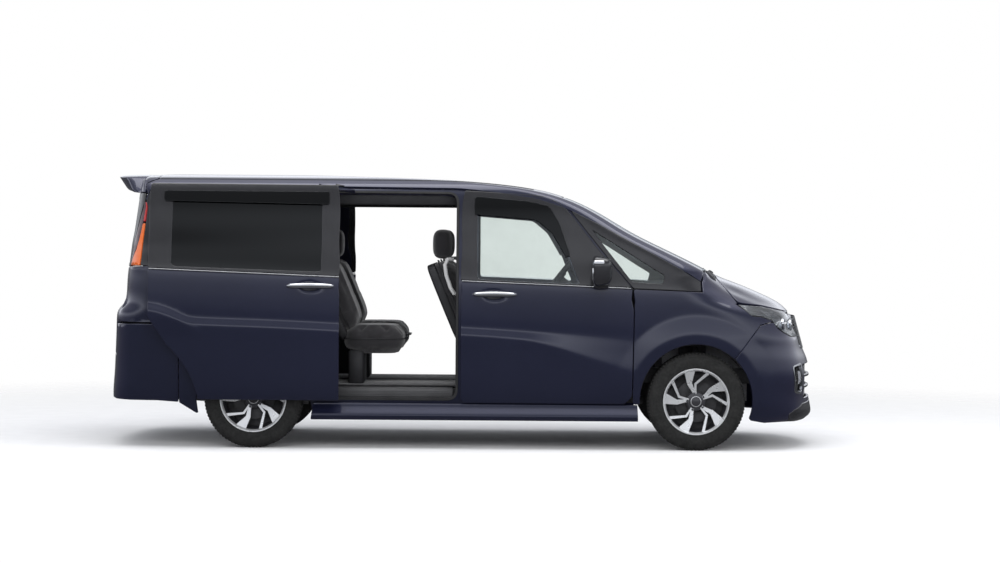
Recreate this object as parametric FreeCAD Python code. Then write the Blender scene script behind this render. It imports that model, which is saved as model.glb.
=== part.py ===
import FreeCAD, Part
import math
import os

# A one-box family minivan with its two side doors slid open, in millimetres.
# +X is forward, +Y is the vehicle's left side, +Z is up. The origin is on the floor, under the
# middle of the body's length. The steering wheel is on the right-hand side, at -Y.

V = FreeCAD.Vector

# Overall size and axles
LENGTH = 4735.0
BODY_HEIGHT = 1800.0
WHEELBASE = 2890.0
FRONT_OVERHANG = 840.0
HALF_WIDTH = 847.5
TRACK = 1470.0
X_NOSE = LENGTH / 2
X_TAIL = -LENGTH / 2
X_FRONT_AXLE = X_NOSE - FRONT_OVERHANG
X_REAR_AXLE = X_FRONT_AXLE - WHEELBASE

# Wheels
TYRE_RADIUS = 320.0
TYRE_WIDTH = 205.0
RIM_RADIUS = 219.0
RIM_WALL = 10.0
RIM_SEAT_GAP = 0.3
SPOKES = 5
HUB_RADIUS = 72.0
HUB_DEPTH = 46.0
DISC_RADIUS = 140.0
DISC_THICKNESS = 22.0
WHEEL_Y = TRACK / 2
SEAT = 0.3

# Walls, gaps and glass
SIDE_WALL = 75.0
ROOF_WALL = 45.0
TAIL_WALL = 60.0
PILLAR_SET_BACK = 30.0
FENDER_WALL = 40.0
NOSE_WALL = 50.0
BONNET_WALL = 30.0
SKIN = 20.0
REBATE = 35.0
SKIN_CLEARANCE = 6.0
GAP = 6.0
GLASS = 8.0
GLASS_INSET = 5.0
GLASS_FIT = 0.3
ROOF_HALF = 600.0

# Floor and openings
SILL_BOTTOM = 190.0
SILL_INNER = 690.0
FLOOR_BOTTOM = 330.0
FLOOR_TOP = 380.0
REAR_FLOOR_X = -1000.0
REAR_FLOOR_TOP = 480.0
FLOOR_HALF = 600.0
FIREWALL_X = 1130.0
FIREWALL_THICKNESS = 30.0
FIREWALL_BOTTOM = 295.0
COWL_REAR = 1062.0
COWL_FRONT = 1135.0
COWL_THICKNESS = 25.0
ARCH_RADIUS = 368.0
ARCH_LIFT = 8.0

# Side doors
DOOR_REAR_X = -15.0
SLIDE_FRONT_X = -45.0
SLIDE_REAR_X = -1293.0
SLIDE_TRAVEL = 750.0
SLIDE_OUT = 95.0
SLIDE_LIFT = 20.0
HINGE_X = 1084.0
HINGE_Y = 824.0
HINGE_HEIGHTS = (500.0, 900.0)
HINGE_PIN = 4.0
PIN_FIT = 0.05
FRONT_GAP = 11.0
POST_FACE = 780.0
DOOR_POCKET_TOP = 1075.0
DOOR_INNER = 765.0

# Steering axis, from the lower ball joint to the strut's top mount
BALL_Y = 665.0
BALL_Z = 215.0
MOUNT_Y = 545.0
MOUNT_Z = 900.0
BALL_PIN = 9.0

# The body's outline down its middle, from low to high: the nose with the bonnet and windscreen,
# and the tail. Each pair is x, z.
NOSE = [
    (X_NOSE - 67, 165), (X_NOSE, 215), (X_NOSE - 17, 330), (X_NOSE - 5, 480), (X_NOSE - 55, 650),
    (X_NOSE - 105, 790), (X_NOSE - 129, 850), (X_NOSE - 163, 905), (X_NOSE - 227, 960),
    (X_NOSE - 377, 1030), (X_NOSE - 577, 1110), (X_NOSE - 712, 1170), (X_NOSE - 1158, 1400),
    (X_NOSE - 1632, 1640), (X_NOSE - 1837, 1705), (X_NOSE - 2087, 1740), (X_NOSE - 2397, 1765),
    (X_NOSE - 3067, 1785), (X_NOSE - 3467, BODY_HEIGHT),
]
TAIL = [
    (X_TAIL + 27, 165), (X_TAIL + 12, 215), (X_TAIL, 330), (X_TAIL + 15, 480), (X_TAIL + 22, 650),
    (X_TAIL + 27, 790), (X_TAIL + 67, 850), (X_TAIL + 69, 960), (X_TAIL + 71, 1030),
    (X_TAIL + 75, 1110), (X_TAIL + 87, 1170), (X_TAIL + 119, 1400), (X_TAIL + 157, 1640),
    (X_TAIL + 172, 1705), (X_TAIL + 182, 1740), (X_TAIL + 197, 1765), (X_TAIL + 267, 1785),
    (X_TAIL + 467, BODY_HEIGHT),
]

# Sections of the body from the sills up, each in a plane that falls gently towards the nose.
# Each row is one section: its height at x = 0, its slope, half width, the nose (how far it
# sweeps back to y_nose, and the run from there to the straight side) and the tail (the same).
# z, slope, half_width, nose_sweep, y_nose, nose_run, tail_sweep, y_tail, tail_run
LEVELS = [
    (165, 0, 780, 150, 600, 330, 40, 620, 150),
    (215, 0, 800, 140, 600, 370, 40, 630, 150),
    (330, 0, 836, 140, 620, 400, 42, 640, 160),
    (480, -0.010, 842, 140, 620, 430, 42, 640, 160),
    (650, -0.030, 845, 125, 620, 430, 42, 640, 160),
    (775, -0.045, HALF_WIDTH, 110, 620, 430, 42, 640, 160),
    (830, -0.045, 834, 105, 620, 420, 42, 640, 160),
    (905, -0.045, 833, 105, 610, 420, 40, 640, 160),
    (985, -0.042, 831, 110, 600, 430, 40, 640, 160),
    (1045, -0.040, 829, 210, 560, 400, 40, 640, 160),
    (1098, -0.0376, 826, 230, 560, 310, 40, 640, 150),
    (1150, -0.0370, 817, 175, 585, 280, 40, 640, 150),
    (1195, -0.0365, 808, 105, 620, 225, 40, 640, 150),
    (1230, -0.0363, 801, 62, 640, 185, 40, 630, 140),
    (1400, -0.012, 770, 59, 620, 140, 38, 620, 130),
    (1640, 0, 722, 55, 590, 120, 35, 590, 120),
    (1705, 0, 700, 80, 560, 150, 35, 570, 120),
    (1740, 0, 655, 90, 530, 190, 30, 530, 120),
    (1765, 0, 570, 100, 450, 200, 30, 450, 120),
    (1785, 0, 400, 100, 300, 150, 30, 300, 100),
    (BODY_HEIGHT, 0, 120, 40, 80, 40, 20, 80, 40),
]
COWL_SECTION = 11
BONNET_SECTIONS = 14

# Outlines in side view. A pair is a corner; four numbers are an arc's middle and end.
FRONT_DOOR = [
    (DOOR_REAR_X + 25, 300), (1040, 298), (1095, 330, 1112, 400), (1121, 880), (1106, 1045),
    (892, 1305), (690, 1555), (570, 1640, 430, 1668), (DOOR_REAR_X, 1692), (DOOR_REAR_X, 325),
]
# Behind the skin the rear edge leans forward, clear of the pillar as the door swings
DOOR_SWING = [(-60, 700), (22, 700), (48, 1600), (48, 1760), (-60, 1760)]
FRONT_DOOR_GLASS = [
    (95, 1108), (765, 1082), (690, 1262), (600, 1478), (545, 1570, 420, 1598), (95, 1628),
]
SLIDE_DOOR = [
    (SLIDE_FRONT_X, 296), (SLIDE_FRONT_X, 1700), (SLIDE_REAR_X, 1706), (SLIDE_REAR_X, 830),
    (X_REAR_AXLE + 195, 648), (X_REAR_AXLE + 335, 470, X_REAR_AXLE + 397, 296),
]
SLIDE_GLASS = [
    (SLIDE_FRONT_X - 120, 1126), (SLIDE_FRONT_X - 120, 1634), (SLIDE_REAR_X + 150, 1638),
    (SLIDE_REAR_X + 150, 1160),
]
FRONT_QUARTER = [
    (830, 1450), (1108, 1086), (1130, 1062), (1470, 1056), (1390, 1132), (1180, 1258),
]
REAR_QUARTER = [
    (SLIDE_REAR_X - 60, 1182), (SLIDE_REAR_X - 60, 1655), (-2040, 1645), (-2060, 1186),
]
BONNET_LINE = [
    (1680, 1121), (1806, 964), (1959, 948), (2123, 912), (2260, 880), (2500, 880), (2500, 1400),
    (1680, 1400),
]
BONNET_HINGE_X = 1664.0
BONNET_HINGE_Z = 1151.0
BONNET_HINGE_Y = 180.0
HEADLAMP = [
    (1790, 957), (1848, 915), (1888, 882), (1959, 874), (2030, 850), (2062, 808), (2105, 776),
    (2166, 745), (2300, 735), (2300, 872), (2255, 872), (2120, 904), (1957, 941),
]
BUMPER_REAR = [
    (2036, 842), (1949, 820), (1812, 645), (1800, 100), (2500, 100), (2500, 728), (2164, 738),
    (2103, 769), (2060, 801),
]
TAIL_UNDERSIDE = [
    (-1815, 100), (-1815, 250), (-1700, 250), (-1700, 100), (-1750, 60), (-2450, 60),
    (-2450, 300), (-2342, 290), (-2165, 250), (-1991, 222), (-1823, 165),
]
TAIL_BUMPER_X = -1990.0
TAIL_BUMPER_TOP = 800.0

# The tailgate, seen from behind, and its hinge
GATE_HALF = 705.0
GATE_HALF_TOP = 640.0
GATE_SHOULDER = (1622.0, 1690.0)
GATE_DROP = 24.0
SPOILER_HALF = 590.0
GATE_BOTTOM = 600.0
GATE_FRONT_X = -2020.0
ROOF_REAR_X = -2004.0
GATE_HINGE_X = -2007.0
GATE_HINGE_Z = 1783.0
GATE_HINGE_Y = 260.0
GATE_GLASS = [(-600, 1190), (600, 1190), (560, 1620), (-560, 1620)]
TAIL_LAMP = [(-2085, 1612), (-2070, 1565), (-2108, 1180), (-2400, 1180), (-2400, 1612)]
SPOILER_TIP = X_TAIL + 12

# Number-plate screw holes
PLATE_SPACING = 210.0
PLATE_HOLE = 3.5
FRONT_PLATE_Z = 612.0
REAR_PLATE_Z = 985.0

# Windscreen, seen from the front
SCREEN_BOTTOM = 1168.0
SCREEN_TOP = 1652.0
SCREEN_BOTTOM_HALF = 640.0
SCREEN_TOP_HALF = 575.0
SCREEN_PLUMB = (-3.6, -7.1)

# Steering wheel, seats and engine. A seat's outline is its cushion, back and headrest.
DRIVER_Y = -370.0
STEERING_WHEEL = (630.0, 1112.0)
STEERING_WHEEL_RADIUS = 180.0
STEERING_RIM = 15.0
COLUMN_TILT = 38.0
SEAT_WIDTH = 500.0
SEAT_OUTLINE = [
    (-70, 600), (455, 610), (520, 700, 480, 775), (380, 785), (110, 735), (20, 1000),
    (-72, 1215), (-58, 1232), (-95, 1431), (-175, 1431), (-205, 1330), (-150, 1225), (-190, 1215),
    (-150, 1080), (-60, 720),
]
SEAT_ROWS = [("front_seats", 30.0, FLOOR_TOP, 370.0),
             ("second_row_seats", -830.0, FLOOR_TOP, 350.0)]
THIRD_ROW_X = -1610.0
THIRD_ROW_WIDTH = 1120.0
DASHBOARD = [
    (FIREWALL_X - SEAT, 560), (FIREWALL_X - SEAT, 1040), (1060, 1052), (900, 1048), (740, 1010),
    (690, 930), (730, 780),
    (800, 700), (980, 560),
]
DASH_HALF = 700.0
ENGINE = (1330.0, 1900.0, 300.0, 860.0)

# Underbody
RAIL_Y = 380.0
RAIL_WIDTH = 60.0
RAIL_BOTTOM = 420.0
RAIL_TOP = 520.0
TOWER_HALF = 90.0
ARM_RADIUS = 22.0
AXLE_BEAM_X = 160.0
EXHAUST_Y = 500.0
EXHAUST_Z = 250.0
EXHAUST_RADIUS = 27.0
LINER = 5.0
RAIL_Z = 1135.0


def tangent_middle(xc, yc, xs, w):
    """The middle of the arc that leaves the side (xs, w) along X and ends at (xc, yc)."""
    a, b = abs(xc - xs), w - yc
    r = (a * a + b * b) / (2 * b)
    end = math.atan2(yc - (w - r), a)
    turn = (math.pi / 2 + end) / 2
    return V(xs + math.copysign(r, xc - xs) * math.cos(turn), w - r + r * math.sin(turn), 0)


def meet(profile, z, slope):
    """Where a section's plane crosses the nose's or the tail's outline."""
    for (xa, za), (xb, zb) in zip(profile, profile[1:]):
        fa, fb = za - z - slope * xa, zb - z - slope * xb
        if fa <= 0 <= fb:
            return xa + (xb - xa) * fa / (fa - fb)
    raise ValueError("a section misses the outline")


def contour(z, slope, w, nose, sweep, y_nose, run, tail, tail_sweep, y_tail, tail_run):
    """One section of the body, as a closed wire of lines and arcs."""
    xc, xs = nose - sweep, nose - sweep - run
    xtc, xts = tail + tail_sweep, tail + tail_sweep + tail_run
    front, rear = tangent_middle(xc, y_nose, xs, w), tangent_middle(xtc, y_tail, xts, w)

    def at(x, y):
        return V(x, y, z + slope * x)

    def arc(a, m, b):
        return Part.Arc(at(*a), at(*m), at(*b)).toShape()

    return Part.Wire([
        arc((xc, y_nose), (front.x, front.y), (xs, w)),
        Part.makeLine(at(xs, w), at(xts, w)),
        arc((xts, w), (rear.x, rear.y), (xtc, y_tail)),
        arc((xtc, y_tail), (tail, 0), (xtc, -y_tail)),
        arc((xtc, -y_tail), (rear.x, -rear.y), (xts, -w)),
        Part.makeLine(at(xts, -w), at(xs, -w)),
        arc((xs, -w), (front.x, -front.y), (xc, -y_nose)),
        arc((xc, -y_nose), (nose, 0), (xc, y_nose)),
    ])


def loft(rows):
    return Part.makeLoft([contour(*row) for row in rows], True, True)


def outline(points, place):
    """A closed face from corners (a, b) and arcs (middle a, middle b, end a, end b)."""
    start = V(*place(*points[0]))
    edges, here = [], start
    for p in points[1:]:
        end = V(*place(*p[-2:]))
        if len(p) == 2:
            edges.append(Part.makeLine(here, end))
        else:
            edges.append(Part.Arc(here, V(*place(*p[:2])), end).toShape())
        here = end
    if here.distanceToPoint(start) > 1e-6:
        edges.append(Part.makeLine(here, start))
    return Part.Face(Part.Wire(edges))


def side_prism(points, y0, y1, grow=0.0):
    """A side-view outline made solid from y0 to y1, its edges moved out by grow."""
    face = outline(points, lambda x, z: (x, 0, z))
    if grow:
        face = face.makeOffset2D(grow, 0)
    face.translate(V(0, y0, 0))
    return face.extrude(V(0, y1 - y0, 0))


def front_prism(points, x0, x1, grow=0.0):
    face = outline(points, lambda y, z: (0, y, z))
    if grow:
        face = face.makeOffset2D(grow, 0)
    face.translate(V(x0, 0, 0))
    return face.extrude(V(x1 - x0, 0, 0))


def box(x0, x1, y0, y1, z0, z1):
    return Part.makeBox(x1 - x0, y1 - y0, z1 - z0, V(x0, y0, z0))


def moved(shape, x=0, y=0, z=0):
    copy = shape.copy()
    copy.translate(V(x, y, z))
    return copy


def mirrored(shape):
    return shape.mirror(V(0, 0, 0), V(0, 1, 0))


def cylinder_y(x, z, radius, y0, y1):
    return Part.makeCylinder(radius, y1 - y0, V(x, y0, z), V(0, 1, 0))


def rounded(x0, x1, y0, y1, z0, z1, radius):
    """A box with its long edges across the vehicle rounded."""
    b = box(x0, x1, y0, y1, z0, z1)
    along = [e for e in b.Edges if abs(e.Vertexes[0].Y - e.Vertexes[-1].Y) > 1]
    return b.makeFillet(radius, along)


def steer_pin(side, z0, z1, radius):
    """A round pin along the steering axis, between two heights."""
    lean = (MOUNT_Y - BALL_Y) / (MOUNT_Z - BALL_Z)
    ends = [(X_FRONT_AXLE, side * (BALL_Y + lean * (z - BALL_Z)), z) for z in (z0, z1)]
    return rod(*ends, radius)


def rod(a, b, radius):
    a, b = V(*a), V(*b)
    return Part.makeCylinder(radius, a.distanceToPoint(b), a, b - a)


def biggest(shape, count=1):
    """The largest solids of a cut, without slivers."""
    solids = sorted(shape.Solids, key=lambda s: -s.Volume)[:count]
    return solids[0] if count == 1 else Part.Compound(solids)


def plate_holes(x0, x1, z):
    """The two screw holes of a number plate."""
    holes = [Part.makeCylinder(PLATE_HOLE, x1 - x0, V(x0, side * PLATE_SPACING / 2, z),
                               V(1, 0, 0)) for side in (-1, 1)]
    return Part.Compound(holes)


NODES = {}


def node(name, *shapes):
    solids = [s for shape in shapes for s in shape.Solids]
    NODES[name] = Part.Compound(solids) if len(solids) > 1 else solids[0]


# The body's outside, and the two hollows that leave its walls
outer_rows = []
cabin_rows = []
bay_rows = []
for i, (z, slope, w, sweep, y_nose, run, t_sweep, y_tail, t_run) in enumerate(LEVELS):
    nose, tail = meet(NOSE, z, slope), meet(TAIL, z, slope)
    outer_rows.append((z, slope, w, nose, sweep, y_nose, run, tail, t_sweep, y_tail, t_run))
    inner_w = w - SIDE_WALL
    if i < COWL_SECTION:
        front = (FIREWALL_X, 5, inner_w - 60, 40)
    else:
        front = (min(nose, NOSE[11][0]) - PILLAR_SET_BACK, sweep, min(y_nose, inner_w - 8) - 5, run)
    y_rear = min(y_tail, inner_w - 8) - 5
    cabin_rows.append((z - ROOF_WALL, slope, inner_w, *front, tail + TAIL_WALL, t_sweep, y_rear,
                       t_run))
    if i < BONNET_SECTIONS:
        bay_w = w - FENDER_WALL
        bay_rows.append((z - BONNET_WALL, slope, bay_w, nose - NOSE_WALL, sweep, y_nose - 25, run,
                         FIREWALL_X + FIREWALL_THICKNESS, 5, bay_w - 60, 20))
outer = loft(outer_rows)
outer = outer.cut(side_prism(TAIL_UNDERSIDE, -1000, 1000))
cabin = loft(cabin_rows).common(box(-2400, 1700, -900, 900, FLOOR_TOP, BODY_HEIGHT))
cabin = cabin.cut(side_prism([(FIREWALL_X, 200), (FIREWALL_X, COWL_REAR), (1640, COWL_FRONT),
                              (1900, COWL_FRONT), (1900, 200)], -900, 900))

bay = loft(bay_rows).cut(side_prism([(1100, COWL_REAR - COWL_THICKNESS),
                                     (1655, COWL_FRONT - COWL_THICKNESS), (1655, 1300),
                                     (1100, 1300)], -900, 900))
print("hollows", cabin.isValid(), bay.isValid())


def arch(x, sign, radius, y_in, y_out):
    y0, y1 = sorted((sign * y_in, sign * y_out))
    return cylinder_y(x, TYRE_RADIUS + ARCH_LIFT, radius, y0, y1)


# Right-hand side wall of the cabin, from which the side's panels are cut
side_block = outer.common(box(-2400, 1700, -900, -500, 165, 1770))
side_wall = side_block.cut(cabin)
inside_skin = moved(side_block, y=SKIN)
inside_rebate = moved(side_block, y=SKIN + SKIN_CLEARANCE)


def door(points, glass):
    """A side door: a skin over its whole outline, and a narrower box behind it."""
    inner = side_prism(points, -900, -400, -REBATE)
    panel = side_wall.common(side_prism(points, -900, -400))
    panel = panel.cut(box(-2400, 1700, -DOOR_INNER, 0, 100, FLOOR_TOP + 1))
    behind = panel.common(inside_skin).cut(inner)
    return biggest(panel.cut(behind).cut(side_prism(glass, -900, -400)))


def pane(points):
    layer = moved(side_block, y=GLASS_INSET).cut(moved(side_block, y=GLASS_INSET + GLASS))
    return biggest(layer.common(side_prism(points, -900, -400, -GLASS_FIT)))


front_door = door(FRONT_DOOR, FRONT_DOOR_GLASS).cut(
    side_prism(DOOR_SWING, -900, -400).common(inside_skin))
slide_door = door(SLIDE_DOOR, SLIDE_GLASS)
door_pane = pane(FRONT_DOOR_GLASS)
slide_pane = pane(SLIDE_GLASS)

# Door hinges: the post's barrel and pin stand between two ears in the door
post_hinges = []
for z in HINGE_HEIGHTS:
    leaf = box(HINGE_X - 5, HINGE_X + 5, -HINGE_Y, -POST_FACE + 6, z - 20, z + 20)
    foot = box(HINGE_X - 5, 1108, -POST_FACE - 1, -POST_FACE + 8, z - 20, z + 20)
    barrel = Part.makeCylinder(8, 40, V(HINGE_X, -HINGE_Y, z - 20))
    pin = Part.makeCylinder(HINGE_PIN, 88, V(HINGE_X, -HINGE_Y, z - 44))
    post_hinges += [leaf, foot, barrel, pin]
    pocket = box(HINGE_X - 12, 1130, -HINGE_Y, -700, z - 26, z + 26).fuse(
        Part.makeCylinder(13, 52, V(HINGE_X, -HINGE_Y, z - 26)))
    front_door = front_door.cut(pocket)
    for low in (z - 46, z + 26):
        front_door = front_door.fuse(
            box(HINGE_X - 14, HINGE_X + 8, -HINGE_Y - 5, -HINGE_Y + 9, low, low + 20))
    front_door = front_door.cut(
        Part.makeCylinder(HINGE_PIN + PIN_FIT, 100, V(HINGE_X, -HINGE_Y, z - 50)))
front_door = biggest(front_door)
print("doors", front_door.isValid(), slide_door.isValid())

# Body side: sill, pillars, cant rail and rear quarter
body_side = side_wall.common(
    side_prism([(-2400, SILL_BOTTOM), (-2400, 1770), (1806, 1770), (1806, 1046),
                (FIREWALL_X, 1046), (FIREWALL_X, SILL_BOTTOM)], -900, -ROOF_HALF))
body_side = body_side.cut(side_prism(BONNET_LINE, -900, -400, GAP))
body_side = body_side.cut(bay)
overlap = body_side.cut(inside_rebate)
front_edge = side_prism(FRONT_DOOR, -900, -400, FRONT_GAP).common(
    box(1000, 1200, -900, -400, 310, DOOR_POCKET_TOP))
rebates = [side_prism(FRONT_DOOR, -900, -400, GAP), side_prism(SLIDE_DOOR, -900, -400, GAP),
           front_edge,
           box(SLIDE_FRONT_X - 1, DOOR_REAR_X + 1, -900, -400, 312, 1690)]
for r in rebates:
    body_side = body_side.cut(overlap.common(r))
for points, grow in ((FRONT_DOOR, GAP - REBATE), (SLIDE_DOOR, GAP - REBATE),
                     (FRONT_QUARTER, 0), (REAR_QUARTER, 0)):
    body_side = body_side.cut(side_prism(points, -900, -400, grow))
body_side = body_side.cut(arch(X_REAR_AXLE, -1, ARCH_RADIUS, 500, 900))

# Cut-outs for the windscreen, tailgate, tail lamps and rear bumper
SCREEN = [(-SCREEN_BOTTOM_HALF, SCREEN_BOTTOM), (SCREEN_BOTTOM_HALF, SCREEN_BOTTOM),
          (SCREEN_TOP_HALF, SCREEN_TOP), (-SCREEN_TOP_HALF, SCREEN_TOP)]


def gate_outline(drop):
    low, high = (z - drop for z in GATE_SHOULDER)
    return [(-GATE_HALF, GATE_BOTTOM), (GATE_HALF, GATE_BOTTOM), (GATE_HALF, low),
            (GATE_HALF_TOP, high), (GATE_HALF_TOP, 1900), (-GATE_HALF_TOP, 1900),
            (-GATE_HALF_TOP, high), (-GATE_HALF, low)]


GATE = gate_outline(0)
screen_cut = front_prism(SCREEN, 500, 1800, GLASS_FIT)
gate_cut = front_prism(GATE, -2500, ROOF_REAR_X, GAP)
lamp_cut = side_prism(TAIL_LAMP, -900, -GATE_HALF - GAP)
bumper_side = box(-2400, TAIL_BUMPER_X, -900, 0, 100, TAIL_BUMPER_TOP)
hinge_pocket = front_edge.common(
    box(1000, 1200, -900, -POST_FACE, 310, DOOR_POCKET_TOP))
under_sill = box(-2400, 1700, -SILL_INNER, 0, 100, FLOOR_BOTTOM)
rail_recess = box(-2060, -1250, -900, -786, RAIL_Z - 16, RAIL_Z + 16)
dash_room = box(FIREWALL_X - 60, FIREWALL_X, -DASH_HALF - 3, 0, FLOOR_TOP, 1046)
for c in (screen_cut, gate_cut, lamp_cut, bumper_side, hinge_pocket, under_sill, rail_recess,
          dash_room):
    body_side = body_side.cut(c)
body_side = biggest(body_side.multiFuse(post_hinges))
print("side", body_side.isValid(), body_side.Volume / 1e9)
node("body_side_right", body_side)
node("body_side_left", mirrored(body_side))

# Fixed panes
screen_block = outer.common(box(400, 1750, -760, 760, 1100, 1700))
screen = screen_block.cut(moved(screen_block, x=SCREEN_PLUMB[0], z=SCREEN_PLUMB[1]))
screen = biggest(screen.common(front_prism(SCREEN, 500, 1800)))
front_quarter = pane(FRONT_QUARTER)
rear_quarter = pane(REAR_QUARTER)
node("windscreen", screen)
node("front_quarter_glass", front_quarter, mirrored(front_quarter))
node("rear_quarter_glass", rear_quarter, mirrored(rear_quarter))

# Roof with its header
roof_zone = box(ROOF_REAR_X, 1000, -ROOF_HALF + SEAT, ROOF_HALF - SEAT, 1600, 1900)
roof = biggest(outer.common(roof_zone).cut(cabin).cut(screen_cut))
gate_ears = []
gate_bores = []
for y in (-GATE_HINGE_Y, GATE_HINGE_Y):
    roof = roof.cut(box(-2020, GATE_HINGE_X + 20, y - 30, y + 30, 1700, 1900))
    for y0 in (y - 40, y + 28):
        roof = roof.fuse(box(GATE_HINGE_X - 6, ROOF_REAR_X + 10, y0, y0 + 12,
                             GATE_HINGE_Z - 8, GATE_HINGE_Z + 5))
    roof = roof.fuse(cylinder_y(GATE_HINGE_X, GATE_HINGE_Z, HINGE_PIN, y - 35, y + 35))
    gate_ears.append(box(GATE_FRONT_X - 10, GATE_HINGE_X + 6, y - 22, y + 22,
                         GATE_HINGE_Z - 7, GATE_HINGE_Z + 5))
    gate_bores.append(cylinder_y(GATE_HINGE_X, GATE_HINGE_Z, HINGE_PIN + PIN_FIT, y - 30, y + 30))
roof = biggest(roof)
node("roof", roof)

# Tail: gate, glass, spoiler, bumper and lamps
tail_shell = outer.common(box(-2450, -1700, -900, 900, 100, 1900)).cut(cabin)
gate = tail_shell.common(front_prism(gate_outline(GATE_DROP), -2500, GATE_FRONT_X))
gate = gate.cut(front_prism(GATE_GLASS, -2500, -2050))
gate = gate.cut(box(-2130, -1900, -900, 900, 100, GATE_SHOULDER[1] + 10))
tail_block = outer.common(box(-2450, -2100, -700, 700, 1100, 1700))
gate_pane = moved(tail_block, x=GLASS_INSET).cut(moved(tail_block, x=GLASS_INSET + GLASS))
gate_pane = biggest(gate_pane.common(front_prism(GATE_GLASS, -2500, -2050, -GLASS_FIT)))
spoiler_side = [(-2120, 1762), (-2060, 1786), (SPOILER_TIP, 1782), (SPOILER_TIP + 58, 1705),
                (-2170, 1700)]
spoiler = side_prism(spoiler_side, -SPOILER_HALF, SPOILER_HALF).cut(outer)
gate = gate.cut(plate_holes(-2450, -2050, REAR_PLATE_Z)).multiFuse(gate_ears)
gate = biggest(gate.cut(Part.Compound(gate_bores)))
spoiler = biggest(moved(spoiler, x=-SEAT))
node("tailgate", gate)
node("tailgate_glass", gate_pane)
node("spoiler", spoiler)
rear_bumper = tail_shell.common(
    box(-2450, TAIL_BUMPER_X - SEAT, -900, 900, 100, TAIL_BUMPER_TOP - SEAT))
rear_bumper = rear_bumper.cut(front_prism(GATE, -2500, -2050, GAP))
rear_bumper = rear_bumper.cut(box(-2270, -1700, -760, 760, 100, FLOOR_TOP + 1))
node("rear_bumper", biggest(rear_bumper))
lamp = biggest(tail_shell.common(side_prism(TAIL_LAMP, -900, -GATE_HALF - GAP - SEAT, -SEAT)))
node("tail_lamps", lamp, mirrored(lamp))
print("tail", gate.isValid(), spoiler.isValid())

# Nose: bonnet, fenders, bumper, lamps and grille
nose_shell = outer.common(box(FIREWALL_X, 2500, -900, 900, 100, 1200)).cut(bay)
for side in (-1, 1):
    nose_shell = nose_shell.cut(arch(X_FRONT_AXLE, side, ARCH_RADIUS, 400, 900))
bonnet = biggest(nose_shell.common(side_prism(BONNET_LINE, -900, 900)))
cowl_hinges = []
for y in (-BONNET_HINGE_Y, BONNET_HINGE_Y):
    cowl_hinges += [box(1640, BONNET_HINGE_X + 5, y - 10, y + 10, 1120, BONNET_HINGE_Z + 5),
                    cylinder_y(BONNET_HINGE_X, BONNET_HINGE_Z, HINGE_PIN, y - 30, y + 30)]
    for y0 in (y - 32, y + 15):
        bonnet = bonnet.fuse(box(BONNET_HINGE_X - 7, 1690, y0, y0 + 17, 1140,
                                 BONNET_HINGE_Z + 6).cut(box(1600, 1680, y0, y0 + 17, 900, 1141)))
    bonnet = bonnet.cut(
        cylinder_y(BONNET_HINGE_X, BONNET_HINGE_Z, HINGE_PIN + PIN_FIT, y - 33, y + 33))
    bonnet = bonnet.cut(box(1600, 1690, y - 15, y + 15, 1100, 1300))
bonnet = biggest(bonnet)
node("bonnet", bonnet)
lamp_prism = side_prism(HEADLAMP, -900, -430, -SEAT)
headlamp = biggest(nose_shell.common(lamp_prism))
node("headlamps", headlamp, mirrored(headlamp))
bumper = nose_shell.common(side_prism(BUMPER_REAR, -900, 900))
GRILLE = [(-425, 660), (425, 660), (425, 868), (-425, 868)]
INTAKE = [(-520, 330), (520, 330), (600, 560), (-600, 560)]
front_bumper = bumper.cut(front_prism(INTAKE, 2000, 2500))
front_bumper = front_bumper.cut(front_prism(GRILLE, 2000, 2500))
front_bumper = biggest(front_bumper.cut(plate_holes(2200, 2450, FRONT_PLATE_Z)))
node("front_bumper", front_bumper)
grille_shell = nose_shell.common(front_prism(GRILLE, 2000, 2500, -SEAT))
intake_shell = bumper.common(front_prism(INTAKE, 2000, 2500, -SEAT)).common(moved(outer, x=-18))
for low in (686, 728, 770, 812):
    grille_shell = grille_shell.cut(box(2000, 2500, -395, 395, low, low + 26))
for low in (362, 412, 462, 512):
    intake_shell = intake_shell.cut(box(2000, 2500, -485, 485, low, low + 30))
node("grille", biggest(grille_shell), biggest(intake_shell))
fender = nose_shell.common(box(FIREWALL_X + SEAT, 2500, -900, -430, 200, 1046 - SEAT))
fender = fender.cut(side_prism(BONNET_LINE, -900, 900, GAP))
fender = fender.cut(side_prism(FRONT_DOOR, -900, -400, FRONT_GAP))
fender = fender.cut(side_prism(HEADLAMP, -900, -100, SEAT))
fender = fender.cut(side_prism(BUMPER_REAR, -900, 900, SEAT * 2))
fender = fender.cut(box(FIREWALL_X, FIREWALL_X + FIREWALL_THICKNESS + 1, -765, 0, 100, 1200))
fender = fender.cut(box(FIREWALL_X, FIREWALL_X + FIREWALL_THICKNESS + 8, -720, 0, 100, 1200))
fender = fender.cut(box(FIREWALL_X, 1900, -ROOF_HALF - SEAT, 0, 1045 - SEAT, 1200))
fender = biggest(fender)
node("fenders", fender, mirrored(fender))
print("nose", bonnet.isValid(), front_bumper.isValid(), fender.isValid())

# Front doors, with their panes, mirrors and handles
handle = rounded(72, 345, -856, -820, 1000, 1024, 9).cut(moved(front_door, y=-SEAT))
handle = biggest(handle.common(box(0, 400, -900, -828, 900, 1100)))
shell_top = rounded(812, 978, -1040, -868, 1072, 1262, 40)
foot = box(860, 950, -900, -800, 1030, 1090).cut(moved(side_block, y=-SEAT))
mirror = biggest(shell_top.fuse(foot))
for side, turn in (("right", lambda s: s), ("left", mirrored)):
    node("front_door_" + side, turn(front_door))
    node("door_glass_" + side, turn(door_pane))
    node("mirror_" + side, turn(mirror))
    node("door_handle_" + side, turn(handle))

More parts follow.
